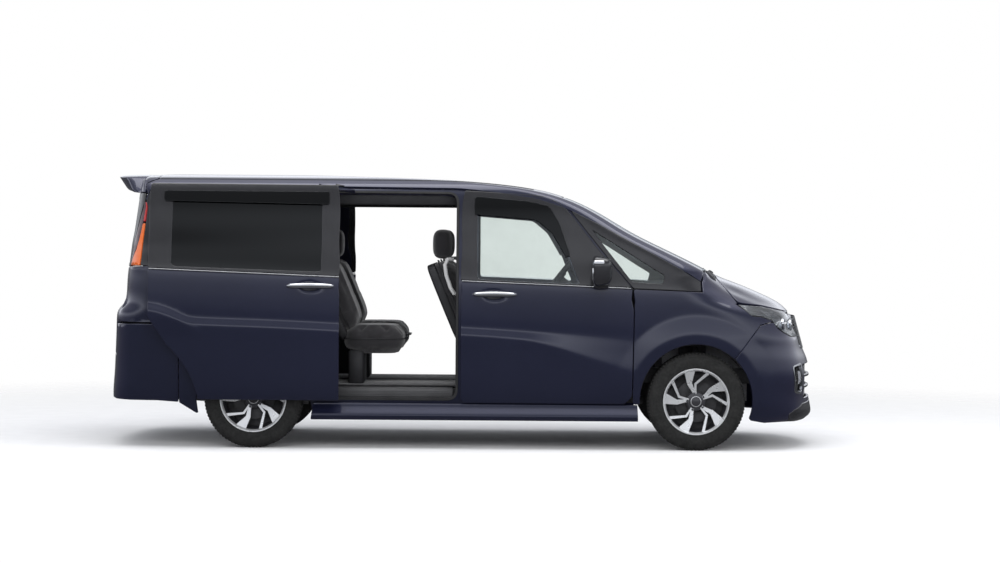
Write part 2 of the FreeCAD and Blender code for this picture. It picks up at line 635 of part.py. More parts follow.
# Sliding doors, held open by arms that run in the rails
slide_handle = rounded(-381, -95, -856, -815, 1028, 1052, 9).cut(moved(slide_door, y=-SEAT))
slide_handle = biggest(slide_handle.common(box(-500, 0, -900, -824, 900, 1200)))
open_door, open_pane, open_handle = [
    moved(shape, -SLIDE_TRAVEL, -SLIDE_OUT, SLIDE_LIFT)
    for shape in (slide_door, slide_pane, slide_handle)]
door_touch = moved(open_door, y=SEAT)
centre_rail = box(-2058, -1252, -812, -786.3, RAIL_Z - 15, RAIL_Z + 15)
centre_arm = box(-2010, -1960, -900, -811, RAIL_Z - 9, RAIL_Z + 9).cut(door_touch)
lower_rail = box(-930, -120, -690, -640, 341.3, 356)
lower_arm = box(-870, -820, -900, -650, 355, 375).cut(door_touch)
upper_rail = box(-1240, -120, -660, -600, 1640, 1656).cut(moved(body_side, y=SEAT))
upper_arm = box(-852, -832, -850, -610, 1643, 1653).cut(door_touch)
upper_rail = biggest(upper_rail)
centre_gear = biggest(centre_rail.fuse(biggest(centre_arm)))
lower_gear = biggest(lower_rail.fuse(biggest(lower_arm)))
upper_gear = biggest(upper_rail.fuse(biggest(upper_arm)))
node("sliding_doors", open_door, mirrored(open_door))
node("sliding_door_glass", open_pane, mirrored(open_pane))
node("sliding_door_handles", open_handle, mirrored(open_handle))
node("slide_rails", *[f(g) for g in (centre_gear, lower_gear, upper_gear)
                      for f in (lambda s: s, mirrored)])

# Floor, firewall with its cowl, and wheelhouses
front_floor = box(REAR_FLOOR_X, FIREWALL_X - SEAT, -FLOOR_HALF + SEAT, FLOOR_HALF - SEAT,
                  FLOOR_BOTTOM, FLOOR_TOP)
step = box(REAR_FLOOR_X - 20, REAR_FLOOR_X + 20, -598, 598, FLOOR_BOTTOM, REAR_FLOOR_TOP)
rear_plan = [(REAR_FLOOR_X, y) for y in (-760, 760)]
rear_plan += [(-2090, 760), (-2170, 715), (-2225, 640), (-2240, 500)]
rear_plan += [(x, -y) for x, y in reversed(rear_plan[2:])]
rear_floor = outline(rear_plan, lambda x, y: (x, y, REAR_FLOOR_TOP - 40)).extrude(V(0, 0, 40))
for side in (-1, 1):
    rear_floor = rear_floor.cut(arch(X_REAR_AXLE, side, ARCH_RADIUS + SEAT, FLOOR_HALF - 1, 850))
node("floor_pan", biggest(front_floor.fuse(step).fuse(rear_floor).removeSplitter()))
firewall = box(FIREWALL_X, FIREWALL_X + FIREWALL_THICKNESS, -764, 764, FIREWALL_BOTTOM, 1045)
cowl = outer.common(box(FIREWALL_X, 1670, -ROOF_HALF + SEAT, ROOF_HALF - SEAT, 1045, 1300))
cowl = cowl.cut(box(1650, 1700, -BONNET_HINGE_Y - 70, BONNET_HINGE_Y + 70, 1000, 1300))
cowl = biggest(cowl.cut(cabin).cut(bay).cut(screen_cut))
node("firewall", biggest(firewall.fuse(cowl).multiFuse(cowl_hinges)))
liners = []
for side in (-1, 1):
    hood = arch(X_FRONT_AXLE, side, ARCH_RADIUS, 645, 800).cut(
        arch(X_FRONT_AXLE, side, ARCH_RADIUS - LINER, 600, 850))
    zone = box(FIREWALL_X + 40, 1815, min(side * 600, side * 850), max(side * 600, side * 850),
               400, 900)
    liners.append(biggest(moved(hood, z=-SEAT).common(zone)))
    house = arch(X_REAR_AXLE, side, ARCH_RADIUS - SEAT, FLOOR_HALF, 835).cut(
        arch(X_REAR_AXLE, side, ARCH_RADIUS - LINER, FLOOR_HALF + LINER, 850))
    high = box(-1800, -900, -850, 850, REAR_FLOOR_TOP - 39, 900)
    liners.append(biggest(house.common(high)))
node("arch_liners", *liners)

# Cabin furniture
node("dashboard", side_prism(DASHBOARD, -DASH_HALF, DASH_HALF))
tilt = math.radians(COLUMN_TILT)
along = V(math.cos(tilt), 0, -math.sin(tilt))
hub = V(STEERING_WHEEL[0], DRIVER_Y, STEERING_WHEEL[1])
ring = Part.makeTorus(STEERING_WHEEL_RADIUS, STEERING_RIM, hub, along)
wheel_parts = [Part.makeCylinder(60, 40, hub - along * 15, along)]
for turn in (0, 180, 270):
    a = math.radians(turn)
    out = V(0, math.cos(a), 0) + V(math.sin(tilt), 0, math.cos(tilt)) * math.sin(a)
    wheel_parts.append(Part.makeCylinder(11, STEERING_WHEEL_RADIUS, hub, out))
node("steering_wheel", ring.multiFuse(wheel_parts))
column = Part.makeCylinder(32, 200, hub + along * (25 + SEAT), along)
node("steering_column", biggest(column.cut(moved(NODES["dashboard"], x=-SEAT))))


def seat(x, width, y, floor_z, lift=0):
    body = side_prism(SEAT_OUTLINE, y - width / 2, y + width / 2)
    foot = box(60, 400, y - width / 2 + 40, y + width / 2 - 40, floor_z + SEAT - lift, 640)
    return moved(body.fuse(foot).removeSplitter(), x=x, z=lift)


for name, x, floor_z, y in SEAT_ROWS:
    node(name, seat(x, SEAT_WIDTH, y, floor_z), seat(x, SEAT_WIDTH, -y, floor_z))
node("third_row_seat", seat(THIRD_ROW_X, THIRD_ROW_WIDTH, 0, REAR_FLOOR_TOP, 30))

# Engine, frame, suspension, tank and exhaust
node("engine", box(*ENGINE[:2], -RAIL_Y + SEAT, RAIL_Y - SEAT, *ENGINE[2:]))
frame_parts = []
for side in (-1, 1):
    def across(y0, y1):
        return min(side * y0, side * y1), max(side * y0, side * y1)
    rail = box(FIREWALL_X + FIREWALL_THICKNESS + SEAT, 2180,
               *across(RAIL_Y, RAIL_Y + RAIL_WIDTH), RAIL_BOTTOM, RAIL_TOP)
    leg = box(X_FRONT_AXLE - TOWER_HALF, X_FRONT_AXLE + TOWER_HALF,
              *across(RAIL_Y + RAIL_WIDTH - 12, RAIL_Y + RAIL_WIDTH), RAIL_BOTTOM, MOUNT_Z + 15)
    top = box(X_FRONT_AXLE - TOWER_HALF, X_FRONT_AXLE + TOWER_HALF,
              *across(RAIL_Y + RAIL_WIDTH - 12, 785), MOUNT_Z, MOUNT_Z + 15)
    drop = box(X_FRONT_AXLE - 110, X_FRONT_AXLE - 50, *across(RAIL_Y, RAIL_Y + RAIL_WIDTH),
               220, RAIL_BOTTOM + 1)
    arm = rod((X_FRONT_AXLE - 80, side * 340, 240), (X_FRONT_AXLE, side * (BALL_Y - 18), BALL_Z),
              ARM_RADIUS)
    arm = arm.fuse(steer_pin(side, BALL_Z - 14, BALL_Z + 14, ARM_RADIUS + 6))
    arm = arm.cut(steer_pin(side, BALL_Z - 40, BALL_Z + 40, BALL_PIN + PIN_FIT))
    top = top.cut(steer_pin(side, MOUNT_Z - 40, MOUNT_Z + 40, BALL_PIN + PIN_FIT))
    frame_parts += [rail, leg, top, drop, arm]
cross = box(X_FRONT_AXLE - 140, X_FRONT_AXLE - 20, -RAIL_Y - 10, RAIL_Y + 10, 205, 275)
front_cross = box(2140, 2180, -RAIL_Y - 10, RAIL_Y + 10, RAIL_BOTTOM, RAIL_TOP)
node("front_frame", cross.multiFuse(frame_parts + [front_cross]))
axle_parts = []
for side in (-1, 1):
    trail = rod((X_REAR_AXLE, side * 585, TYRE_RADIUS), (-1020, side * 560, 300), 30)
    spindle = rod((X_REAR_AXLE, side * 560, TYRE_RADIUS), (X_REAR_AXLE, side * 730, TYRE_RADIUS),
                  20)
    spring = Part.makeCylinder(50, REAR_FLOOR_TOP - 40 - SEAT - 300,
                               V(X_REAR_AXLE + AXLE_BEAM_X, side * 440, 300))
    axle_parts += [trail, spindle, spring]
beam = box(X_REAR_AXLE + AXLE_BEAM_X - 40, X_REAR_AXLE + AXLE_BEAM_X + 40, -575, 575, 280, 340)
node("rear_axle", beam.multiFuse(axle_parts))
node("fuel_tank", rounded(-940, -340, -400, 400, 200, FLOOR_BOTTOM - SEAT, 30))
pipe = rod((1250, EXHAUST_Y - 60, EXHAUST_Z), (-1700, EXHAUST_Y - 60, EXHAUST_Z), EXHAUST_RADIUS)
muffler = rod((-1690, EXHAUST_Y - 130, 300), (-2180, EXHAUST_Y - 130, 330), 85)
hangers = [box(x - 6, x + 6, EXHAUST_Y - 66, EXHAUST_Y - 54, EXHAUST_Z, FLOOR_BOTTOM - SEAT)
           for x in (950, 0, -900)]
hangers.append(box(-1946, -1934, EXHAUST_Y - 136, EXHAUST_Y - 124, 330,
                   REAR_FLOOR_TOP - 40 - SEAT))
node("exhaust", pipe.multiFuse([muffler] + hangers))

# Steering knuckles: carrier, caliper, stub axle, and the strut up to its tower
for name, side in (("right", -1), ("left", 1)):
    def at(y, z, x=0):
        return (X_FRONT_AXLE + x, side * y, z)

    def ybox(x0, x1, y0, y1, z0, z1):
        return box(X_FRONT_AXLE + x0, X_FRONT_AXLE + x1, min(side * y0, side * y1),
                   max(side * y0, side * y1), z0, z1)
    carrier = rod(at(642, TYRE_RADIUS), at(684, TYRE_RADIUS), 48)
    stub = rod(at(670, TYRE_RADIUS), at(730, TYRE_RADIUS), 20)
    lower = rod(at(665, TYRE_RADIUS), at(BALL_Y, BALL_Z + 30), 20)
    pins = [steer_pin(side, BALL_Z - 12, BALL_Z + 40, BALL_PIN),
            steer_pin(side, MOUNT_Z - 30, MOUNT_Z + 16, BALL_PIN)]
    bracket = rod(at(662, TYRE_RADIUS + 20), at(588, 450), 22)
    damper = rod(at(592, 440), at(MOUNT_Y + 2, MOUNT_Z - 12), 25)
    spring = rod(at(568, 672), at(552, 850), 58)
    caliper = ybox(-180, -90, 684, 746, 270, 400).cut(ybox(-200, -60, 693, 729, 200, 450))
    strap = ybox(-120, 0, 672, 684, 300, 340)
    bridge = ybox(-182, -172, 684, 746, 270, 400)
    knuckle = carrier.multiFuse([stub, lower, bracket, damper, spring, caliper, strap, bridge]
                                + pins)
    node("knuckle_" + name, biggest(knuckle))

# Wheels
half = TYRE_WIDTH / 2
TYRE_PROFILE = [
    (RIM_RADIUS + SEAT, -88), (RIM_RADIUS + 12, -96), (265, -half, TYRE_RADIUS - 18, -96),
    (TYRE_RADIUS - 5, -82, TYRE_RADIUS, -66), (TYRE_RADIUS, -45), (TYRE_RADIUS - 8, -45),
    (TYRE_RADIUS - 8, -36), (TYRE_RADIUS, -36), (TYRE_RADIUS, -5), (TYRE_RADIUS - 8, -5),
    (TYRE_RADIUS - 8, 5), (TYRE_RADIUS, 5), (TYRE_RADIUS, 36), (TYRE_RADIUS - 8, 36),
    (TYRE_RADIUS - 8, 45), (TYRE_RADIUS, 45), (TYRE_RADIUS, 66),
    (TYRE_RADIUS - 5, 82, TYRE_RADIUS - 18, 96), (265, half, RIM_RADIUS + 12, 96),
    (RIM_RADIUS + SEAT, 88),
]
BARREL = [
    (RIM_RADIUS - RIM_WALL, -88), (RIM_RADIUS + 9, -98), (RIM_RADIUS + 9, -96.5),
    (RIM_RADIUS, -88), (RIM_RADIUS, 88), (RIM_RADIUS + 9, 96.5), (RIM_RADIUS + 9, 99),
    (RIM_RADIUS - RIM_WALL, 99),
]


def spun(points):
    """A profile of (radius, y) pairs turned about the Y axis."""
    face = outline(points, lambda r, y: (r, y, 0))
    return face.revolve(V(0, 0, 0), V(0, 1, 0), 360)


def spoke(a, b, wa, wb, y0, y1):
    """A flat bar in the wheel's plane between two (radius, degrees) points."""
    pa = V(a[0] * math.cos(math.radians(a[1])), y0, a[0] * math.sin(math.radians(a[1])))
    pb = V(b[0] * math.cos(math.radians(b[1])), y0, b[0] * math.sin(math.radians(b[1])))
    n = V(-(pb - pa).z, 0, (pb - pa).x)
    n.normalize()
    w = Part.makePolygon([pa + n * wa, pb + n * wb, pb - n * wb, pa - n * wa, pa + n * wa])
    return Part.Face(w).extrude(V(0, y1 - y0, 0))


tyre = spun(TYRE_PROFILE)
face_y, back_y = -92, -66
rim_parts = [Part.makeCylinder(HUB_RADIUS, face_y * -1 - 45, V(0, -88, 0), V(0, 1, 0)),
             Part.makeCylinder(50, 50, V(0, -50, 0), V(0, 1, 0)),
             Part.makeCylinder(DISC_RADIUS, DISC_THICKNESS, V(0, 13, 0), V(0, 1, 0)),
             Part.makeCylinder(46, 45, V(0, 0, 0), V(0, 1, 0))]
for k in range(SPOKES):
    turn = k * 360 / SPOKES
    rim_parts.append(spoke((50, 104 + turn), (RIM_RADIUS - 4, 103 + turn), 24, 34, face_y, back_y))
    rim_parts.append(spoke((50, 60 + turn), (125, 76 + turn), 10, 9, face_y, back_y))
    rim_parts.append(spoke((121, 78 + turn), (RIM_RADIUS - 4, 68 + turn), 9, 9, face_y, back_y))
rim = spun(BARREL).multiFuse(rim_parts)
rim = rim.cut(Part.makeCylinder(20.4, 50, V(0, 0, 0), V(0, 1, 0)))
rim = biggest(rim)
for name, x, side in (("front_right", X_FRONT_AXLE, -1), ("front_left", X_FRONT_AXLE, 1),
                      ("rear_right", X_REAR_AXLE, -1), ("rear_left", X_REAR_AXLE, 1)):
    face = (lambda s: s) if side < 0 else mirrored
    node("tyre_" + name, moved(face(tyre), x, side * WHEEL_Y, TYRE_RADIUS))
    node("rim_" + name, moved(face(rim), x, side * WHEEL_Y, TYRE_RADIUS))

os.makedirs("parts", exist_ok=True)
for name, shape in NODES.items():
    shape.exportStep("parts/" + name + ".step")
    bb = shape.BoundBox
    print(name, len(shape.Solids), shape.isValid(), round(shape.Volume / 1e6, 1),
          [round(v) for v in (bb.XMin, bb.XMax, bb.YMin, bb.YMax, bb.ZMin, bb.ZMax)])
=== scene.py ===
import math
from itertools import product

import bpy
import numpy as np
from mathutils.geometry import delaunay_2d_cdt
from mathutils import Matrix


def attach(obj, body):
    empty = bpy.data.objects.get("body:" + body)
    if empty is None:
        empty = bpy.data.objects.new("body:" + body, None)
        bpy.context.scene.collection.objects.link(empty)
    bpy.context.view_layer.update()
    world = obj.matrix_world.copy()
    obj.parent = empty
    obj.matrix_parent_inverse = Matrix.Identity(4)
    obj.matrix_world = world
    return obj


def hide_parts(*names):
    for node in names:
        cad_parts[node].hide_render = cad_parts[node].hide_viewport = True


# A one-box family minivan with its side doors slid open. The script works in millimetres, and
# piece() turns them into metres. +X is forward, +Y the vehicle's left side, +Z up.

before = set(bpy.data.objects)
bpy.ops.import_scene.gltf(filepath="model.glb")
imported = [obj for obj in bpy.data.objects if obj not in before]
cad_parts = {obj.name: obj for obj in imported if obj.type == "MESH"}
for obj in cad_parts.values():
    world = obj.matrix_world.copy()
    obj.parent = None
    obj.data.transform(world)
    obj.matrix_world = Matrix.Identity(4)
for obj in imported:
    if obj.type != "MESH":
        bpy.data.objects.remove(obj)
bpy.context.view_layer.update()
MM = 0.001
X_FRONT_AXLE, X_REAR_AXLE = 1527.5, -1362.5
WHEEL_Y, WHEEL_Z = 735.0, 320.0
ARCH_Z = 328.0
ARCH_RADIUS = 368.0
SLIDE_SHIFT = (-750.0, 95.0, 20.0)

# The gap between panels, the front door's rear edge, and the sliding door's front and rear
GAP = 5.0
DOOR_X = -15.0
SLIDE_X, SLIDE_END = -45.0, -1293

# A panel's even border inside its rolled hem, and the least mesh step of its back
LAND = 2.5
BACK_STEP = 50

# The body's sections from the sills up. Each row is one section: height at x = 0, slope,
# half width, nose (x, sweep back to y_nose, run from there to the straight side), and tail.
# z, slope, half_width, x_nose, nose_sweep, y_nose, nose_run, x_tail, tail_sweep, y_tail, tail_run
SECTIONS = np.array([
    (165, 0, 768, 2300, 150, 600, 330, -2338, 62, 650, 150),
    (215, 0, 788, 2367, 140, 600, 370, -2350, 66, 665, 150),
    (330, 0, 822, 2350, 140, 620, 400, -2361, 70, 690, 160),
    (480, -0.010, 829, 2363, 140, 620, 430, -2350, 70, 700, 160),
    (650, -0.030, 832, 2335, 125, 620, 430, -2342, 70, 702, 160),
    (775, -0.045, 834, 2297, 110, 620, 430, -2336, 70, 704, 160),
    (830, -0.045, 834, 2280, 105, 620, 420, -2288, 74, 704, 160),
    (905, -0.045, 833, 2252, 105, 610, 420, -2276, 76, 702, 160),
    (985, -0.042, 831, 2212, 110, 600, 430, -2273, 76, 700, 160),
    (1045, -0.040, 829, 2141, 210, 560, 400, -2269, 76, 698, 160),
    (1098, -0.0376, 826, 2008, 230, 560, 310, -2263, 76, 694, 150),
    (1150, -0.0370, 817, 1869, 175, 585, 280, -2257, 75, 686, 150),
    (1195, -0.0365, 808, 1722, 105, 620, 225, -2252, 74, 678, 150),
    (1230, -0.0363, 801, 1655, 62, 640, 185, -2248, 73, 672, 140),
    (1400, -0.012, 770, 1210, 59, 620, 140, -2228, 70, 650, 130),
    (1640, 0, 722, 735, 55, 590, 120, -2197, 62, 612, 120),
    (1705, 0, 700, 530, 80, 560, 150, -2186, 56, 588, 120),
    (1740, 0, 655, 280, 90, 530, 190, -2176, 48, 548, 120),
    (1765, 0, 570, -30, 100, 450, 200, -2170, 30, 462, 120),
    (1784, 0, 400, -560, 100, 300, 150, -2100, 30, 306, 100),
    (1794, 0, 220, -860, 90, 150, 100, -1990, 25, 160, 60),
    (1799, 0, 2, -1100, 20, 1, 20, -1900, 20, 1, 20),
], float)
(Z0, SLOPE, HALF, NOSE_X, NOSE_SWEEP, NOSE_Y, NOSE_RUN, TAIL_X, TAIL_SWEEP, TAIL_Y,
 TAIL_RUN) = range(11)

# How far the side stands out below the shoulder crease, the crease's width, and the middles of
# the hollows behind the door handles
SIDE_STEP = 13.5
CREASE_BAND = 42.0
GRIPS = ((205, 1004), (-238, 1034))

# The swelling round each wheel: its outer radius and the width of its edge
FRONT_BLISTER = (553, 117)
REAR_BLISTER = (600, 42)

# Where the parts of a section start, along it from the nose to the tail
A_CORNER, A_SIDE, A_REAR, A_TAIL, A_END = 650.0, 1150.0, 4350.0, 4610.0, 5260.0


def monotone(xs, ys, at):
    """A smooth curve through the points that doesn't overshoot them."""
    h = np.diff(xs)
    d = np.diff(ys) / h
    m = np.zeros(len(xs))
    w1, w2 = 2 * h[1:] + h[:-1], h[1:] + 2 * h[:-1]
    rising = d[:-1] * d[1:] > 0
    safe = np.where(rising, d[:-1], 1.0), np.where(rising, d[1:], 1.0)
    m[1:-1] = np.where(rising, (w1 + w2) / (w1 / safe[0] + w2 / safe[1]), 0)
    m[0], m[-1] = d[0], d[-1]
    i = np.clip(np.searchsorted(xs, at) - 1, 0, len(xs) - 2)
    t = (at - xs[i]) / h[i]
    return ((1 + 2 * t) * (1 - t) ** 2 * ys[i] + t * (1 - t) ** 2 * h[i] * m[i]
            + t * t * (3 - 2 * t) * ys[i + 1] + t * t * (t - 1) * h[i] * m[i + 1])


def blurred(values, cells):
    """Values of an even table, softened over a few of its cells, with the ends held."""
    n = int(4 * cells)
    k = np.exp(-0.5 * (np.arange(-n, n + 1) / cells) ** 2)
    head = 2 * values[0] - values[n:0:-1]
    tail = 2 * values[-1] - values[-2:-n - 2:-1]
    return np.convolve(np.concatenate([head, values, tail]), k / k.sum(), "valid")


ROW_Q = np.concatenate([[0], np.cumsum(np.hypot(np.diff(SECTIONS[:, Z0]),
                                                np.diff(SECTIONS[:, HALF])))])
Q_STEP = 2.0
Q_TABLE = np.arange(0, ROW_Q[-1], Q_STEP)
TABLE = [blurred(monotone(ROW_Q, SECTIONS[:, c], Q_TABLE), 9) for c in range(11)]
Q_END = Q_TABLE[-1]


def column(c, q):
    return np.interp(q, Q_TABLE, TABLE[c])


def q_at(x, z):
    """The section through a point of the side view."""
    low, high = np.zeros(np.shape(x)), np.full(np.shape(x), Q_END)
    for _ in range(40):
        mid = (low + high) / 2
        under = column(Z0, mid) + column(SLOPE, mid) * x < z
        low, high = np.where(under, mid, low), np.where(under, high, mid)
    return (low + high) / 2


def corner(a, x_from, half, y_end, run, t):
    """A corner's arc, from the end beside the nose or tail, t = 0, to the straight side."""
    b = half - y_end
    r = (run * run + b * b) / (2 * b)
    start = np.arctan2(y_end - (half - r), run)
    angle = start + (math.pi / 2 - start) * t
    return x_from + a * r * np.cos(angle), half - r + r * np.sin(angle)


def end_arc(x_end, a, sweep, y_end, t):
    """The nose's or tail's arc, from its middle, t = 0, to its end."""
    r = (y_end * y_end + sweep * sweep) / (2 * sweep)
    angle = np.arcsin(np.clip(y_end / r, -1, 1)) * t
    return x_end - a * r * (1 - np.cos(angle)), r * np.sin(angle)


def plan(a, q):
    """X and y of the bare section q at the distance a along it."""
    side = np.sign(a) + (a == 0)
    a = np.abs(a)
    over = a > A_END
    a = np.where(over, 2 * A_END - a, a)
    side = np.where(over, -side, side)
    half, nose, tail = column(HALF, q), column(NOSE_X, q), column(TAIL_X, q)
    ns, ny, nr = column(NOSE_SWEEP, q), column(NOSE_Y, q), column(NOSE_RUN, q)
    ts, ty, tr = column(TAIL_SWEEP, q), column(TAIL_Y, q), column(TAIL_RUN, q)
    xs, xt = nose - ns - nr, tail + ts + tr
    x, y = end_arc(nose, 1, ns, ny, a / A_CORNER)
    for start, (along, across) in (
            (A_CORNER, corner(1, xs, half, ny, nr, (a - A_CORNER) / (A_SIDE - A_CORNER))),
            (A_SIDE, (xs + (xt - xs) * ((a - A_SIDE) / (A_REAR - A_SIDE)), half)),
            (A_REAR, corner(-1, xt, half, ty, tr, (A_TAIL - a) / (A_TAIL - A_REAR))),
            (A_TAIL, end_arc(tail, -1, ts, ty, (A_END - a) / (A_END - A_TAIL)))):
        x, y = np.where(a > start, along, x), np.where(a > start, across, y)
    return x, y * side


# Each point is a weighted mean of the bare section around it, over a reach that is longer
# ahead of REACH_CHANGE, to soften the corners of the nose and tail
NOSE_REACH, TAIL_REACH, REACH_CHANGE = 105.0, 55.0, 3200
TAPS = np.array([-1, -0.66, -0.33, 0, 0.33, 0.66, 1.0])
TAP_SHARE = np.array([0.4, 0.8, 1.1, 1.2, 1.1, 0.8, 0.4]) / 5.8


def ramp(d, soft=0.12):
    """0 below d = 0, 1 above d = 1, straight between, with soft corners."""
    return (np.hypot(d, soft) - np.hypot(d - 1, soft) + 1) / 2


def crease_height(x):
    """The upper edge of the shoulder crease, which climbs over the rear wheel."""
    line = 792 - np.where(x < 0, 0.055, 0.048) * x - np.where(x < 0, 2.0e-5, 1.8e-5) * x * x
    dx = np.clip(x - X_REAR_AXLE, -590, 590)
    hoop = 320 + np.sqrt(600.0 ** 2 - dx * dx)
    return (line + hoop + np.hypot(line - hoop, 30)) / 2


def wheel_distance(x, z, axle):
    return np.hypot(x - axle, z - ARCH_Z)


def relief(x, z):
    """How far the side stands out over the smooth sections: crease and wheel blisters."""
    band = CREASE_BAND + 170 * ramp((x - 480) / 620, 0.2)
    crease = ramp((crease_height(x) - z) / band)
    front = ramp((FRONT_BLISTER[0] - wheel_distance(x, z, X_FRONT_AXLE)) / FRONT_BLISTER[1],
                 0.06)
    rear = ramp((REAR_BLISTER[0] - wheel_distance(x, z, X_REAR_AXLE)) / REAR_BLISTER[1])
    hoop = 4 * rear * ramp((z - 700) / 130)
    grasp = 0
    for x_grip, z_grip in GRIPS:
        apart = np.hypot((x - x_grip) / 78, (z - z_grip) / 36)
        grasp = grasp + 17 * ramp((1.0 - apart) / 0.55, 0.1)
    return SIDE_STEP * np.maximum(np.maximum(crease, front), rear) + hoop + 4.5 * front - grasp


SKIRT_TOP = 320
SKIRT = np.array([(165, 800), (184, 832), (198, 846), (214, 851), (226, 850), (258, 828),
                  (280, 814), (300, 812), (SKIRT_TOP, 830)], float)


def skirt_relief(x, z):
    """The same with the sill's skirt, a ledge that faces up over a flat edge."""
    q = q_at(x, z)
    skirt = np.interp(z, SKIRT[:, 0], SKIRT[:, 1]) - column(HALF, q)
    return np.where(z < SKIRT_TOP, skirt, relief(x, z))


def body(p, shape=relief):
    """Points of the body's outside, left half, at distances (a, q)."""
    a, q = p[:, 0], p[:, 1]
    reach = np.where(a > REACH_CHANGE, TAIL_REACH, NOSE_REACH)
    x, y = 0, 0
    for tap, share in zip(TAPS, TAP_SHARE):
        tx, ty = plan(a + reach * tap, q)
        x, y = x + share * tx, y + share * ty
    z = column(Z0, q) + column(SLOPE, q) * x
    if shape:
        sideways = ramp((np.abs(a) - 760) / 420, 0.1) * ramp((4600 - np.abs(a)) / 240, 0.1)
        y = y + np.sign(a) * sideways * shape(x, z) * ramp((1250 - z) / 150, 0.1)
    return np.stack([x, y, z], 1)


def skirted(p):
    return body(p, skirt_relief)


def plain(p):
    return body(p, None)


HALVINGS = 34


def search(low, high, beyond):
    """Where a rising test first holds, between two arrays."""
    for _ in range(HALVINGS):
        mid = (low + high) / 2
        past = beyond(mid)
        low, high = np.where(past, low, mid), np.where(past, mid, high)
    return (low + high) / 2


def from_side(points):
    """Side-view points (x, z) as distances (a, q) on the body's left half."""
    p = np.asarray(points, float)
    x, z = p[:, 0], p[:, 1]
    q = q_at(x, z)
    a = search(np.zeros(len(p)), np.full(len(p), A_END),
               lambda m: body(np.stack([m, q], 1), None)[:, 0] < x)
    return np.stack([a, q], 1)


def from_end(points, rear=False):
    """Points (y, z) seen from the front or the back as distances (a, q)."""
    p = np.asarray(points, float)
    y, z = np.abs(p[:, 0]), p[:, 1]
    sign = np.where(p[:, 0] < 0, -1.0, 1.0)
    x = np.full(len(p), -2300.0 if rear else 1900.0)
    for _ in range(12):
        q = q_at(x, z)
        if rear:
            a = search(np.full(len(p), A_REAR), np.full(len(p), A_END),
                       lambda m: body(np.stack([m, q], 1), None)[:, 1] < y)
        else:
            a = search(np.zeros(len(p)), np.full(len(p), A_SIDE),
                       lambda m: body(np.stack([m, q], 1), None)[:, 1] > y)
        x = (x + body(np.stack([a, q], 1), None)[:, 0]) / 2
    if rear:
        return np.stack([np.where(sign < 0, 2 * A_END - a, a), q], 1)
    return np.stack([sign * a, q], 1)


# Outlines in the side view. A pair is a corner; four numbers are an arc's middle and end.
BELT = (1098.0, -0.0376)


def belt(x):
    return BELT[0] + BELT[1] * x


def arc_points(a, m, b, step):
    """Points on the arc through three points, without the first."""
    (ax, az), (mx, mz), (bx, bz) = a, m, b
    d = 2 * (ax * (mz - bz) + mx * (bz - az) + bx * (az - mz))
    if abs(d) < 1e-6:
        return [b]
    sa, sm, sb = ax * ax + az * az, mx * mx + mz * mz, bx * bx + bz * bz
    cx = (sa * (mz - bz) + sm * (bz - az) + sb * (az - mz)) / d
    cz = (sa * (bx - mx) + sm * (ax - bx) + sb * (mx - ax)) / d
    r = math.hypot(ax - cx, az - cz)
    t0, tm, t1 = (math.atan2(z - cz, x - cx) for x, z in (a, m, b))
    turn = (t1 - t0) % (2 * math.pi)
    if (tm - t0) % (2 * math.pi) > turn:
        turn -= 2 * math.pi
    n = max(4, int(abs(turn) * r / step))
    return [(cx + r * math.cos(t0 + turn * k / n), cz + r * math.sin(t0 + turn * k / n))
            for k in range(1, n + 1)]


LEAST_STEP = 1.5


def trace(points, radius=0.0, step=12.0, closed=True):
    """An outline as even points, with its plain corners rounded."""
    n = len(points)
    out = []
    for i, p in enumerate(points):
        before, after = points[i - 1][-2:], points[(i + 1) % n]
        if len(p) == 4:
            out += arc_points(out[-1] if out else before, p[:2], p[2:], step)
            continue
        if not radius or len(after) == 4 or not (closed or 0 < i < n - 1):
            out.append(p)
            continue
        h, b, f = (np.array(v, float) for v in (p, before, after))
        lb, lf = np.linalg.norm(b - h), np.linalg.norm(f - h)
        db, df = min(radius, 0.45 * lb), min(radius, 0.45 * lf)
        s, e = h + (b - h) / lb * db, h + (f - h) / lf * df
        for t in np.linspace(0, 1, 7):
            out.append(tuple((1 - t) ** 2 * s + 2 * t * (1 - t) * h + t * t * e))
    pts = np.array(out, float)
    ring = np.vstack([pts, pts[:1]]) if closed else pts
    dense = []
    for p, q in zip(ring, ring[1:]):
        m = max(1, int(math.ceil(np.linalg.norm(q - p) / step - 0.01)))
        dense += [p + (q - p) * k / m for k in range(m)]
    if not closed:
        dense.append(ring[-1])
    dense = np.array(dense)
    keep = [0]
    for i in range(1, len(dense)):
        if np.linalg.norm(dense[i] - dense[keep[-1]]) > LEAST_STEP:
            keep.append(i)
    if closed and np.linalg.norm(dense[keep[-1]] - dense[0]) < LEAST_STEP:
        keep.pop()
    return dense[keep]


def unit(v):
    """The rows of v, each at length one."""
    return v / np.linalg.norm(v, axis=1)[:, None]


def area(loop):
    x, y = loop[:, 0], loop[:, 1]
    return 0.5 * np.sum(x * np.roll(y, -1) - np.roll(x, -1) * y)


def turned(loop, ccw=True):
    """The loop one way round, without points that coincide."""
    gap = np.linalg.norm(loop - np.roll(loop, 1, 0), axis=1)
    loop = loop[gap > 0.8]
    return loop if (area(loop) > 0) == ccw else loop[::-1]


def inside(points, loop):
    """Which points lie inside a closed loop."""
    x, y = points[:, 0], points[:, 1]
    hit = np.zeros(len(points), bool)
    for (ax, ay), (bx, by) in zip(loop, np.roll(loop, -1, 0)):
        if ay == by:
            continue
        cross = ((ay > y) != (by > y)) & (x < (bx - ax) * (y - ay) / (by - ay) + ax)
        hit ^= cross
    return hit


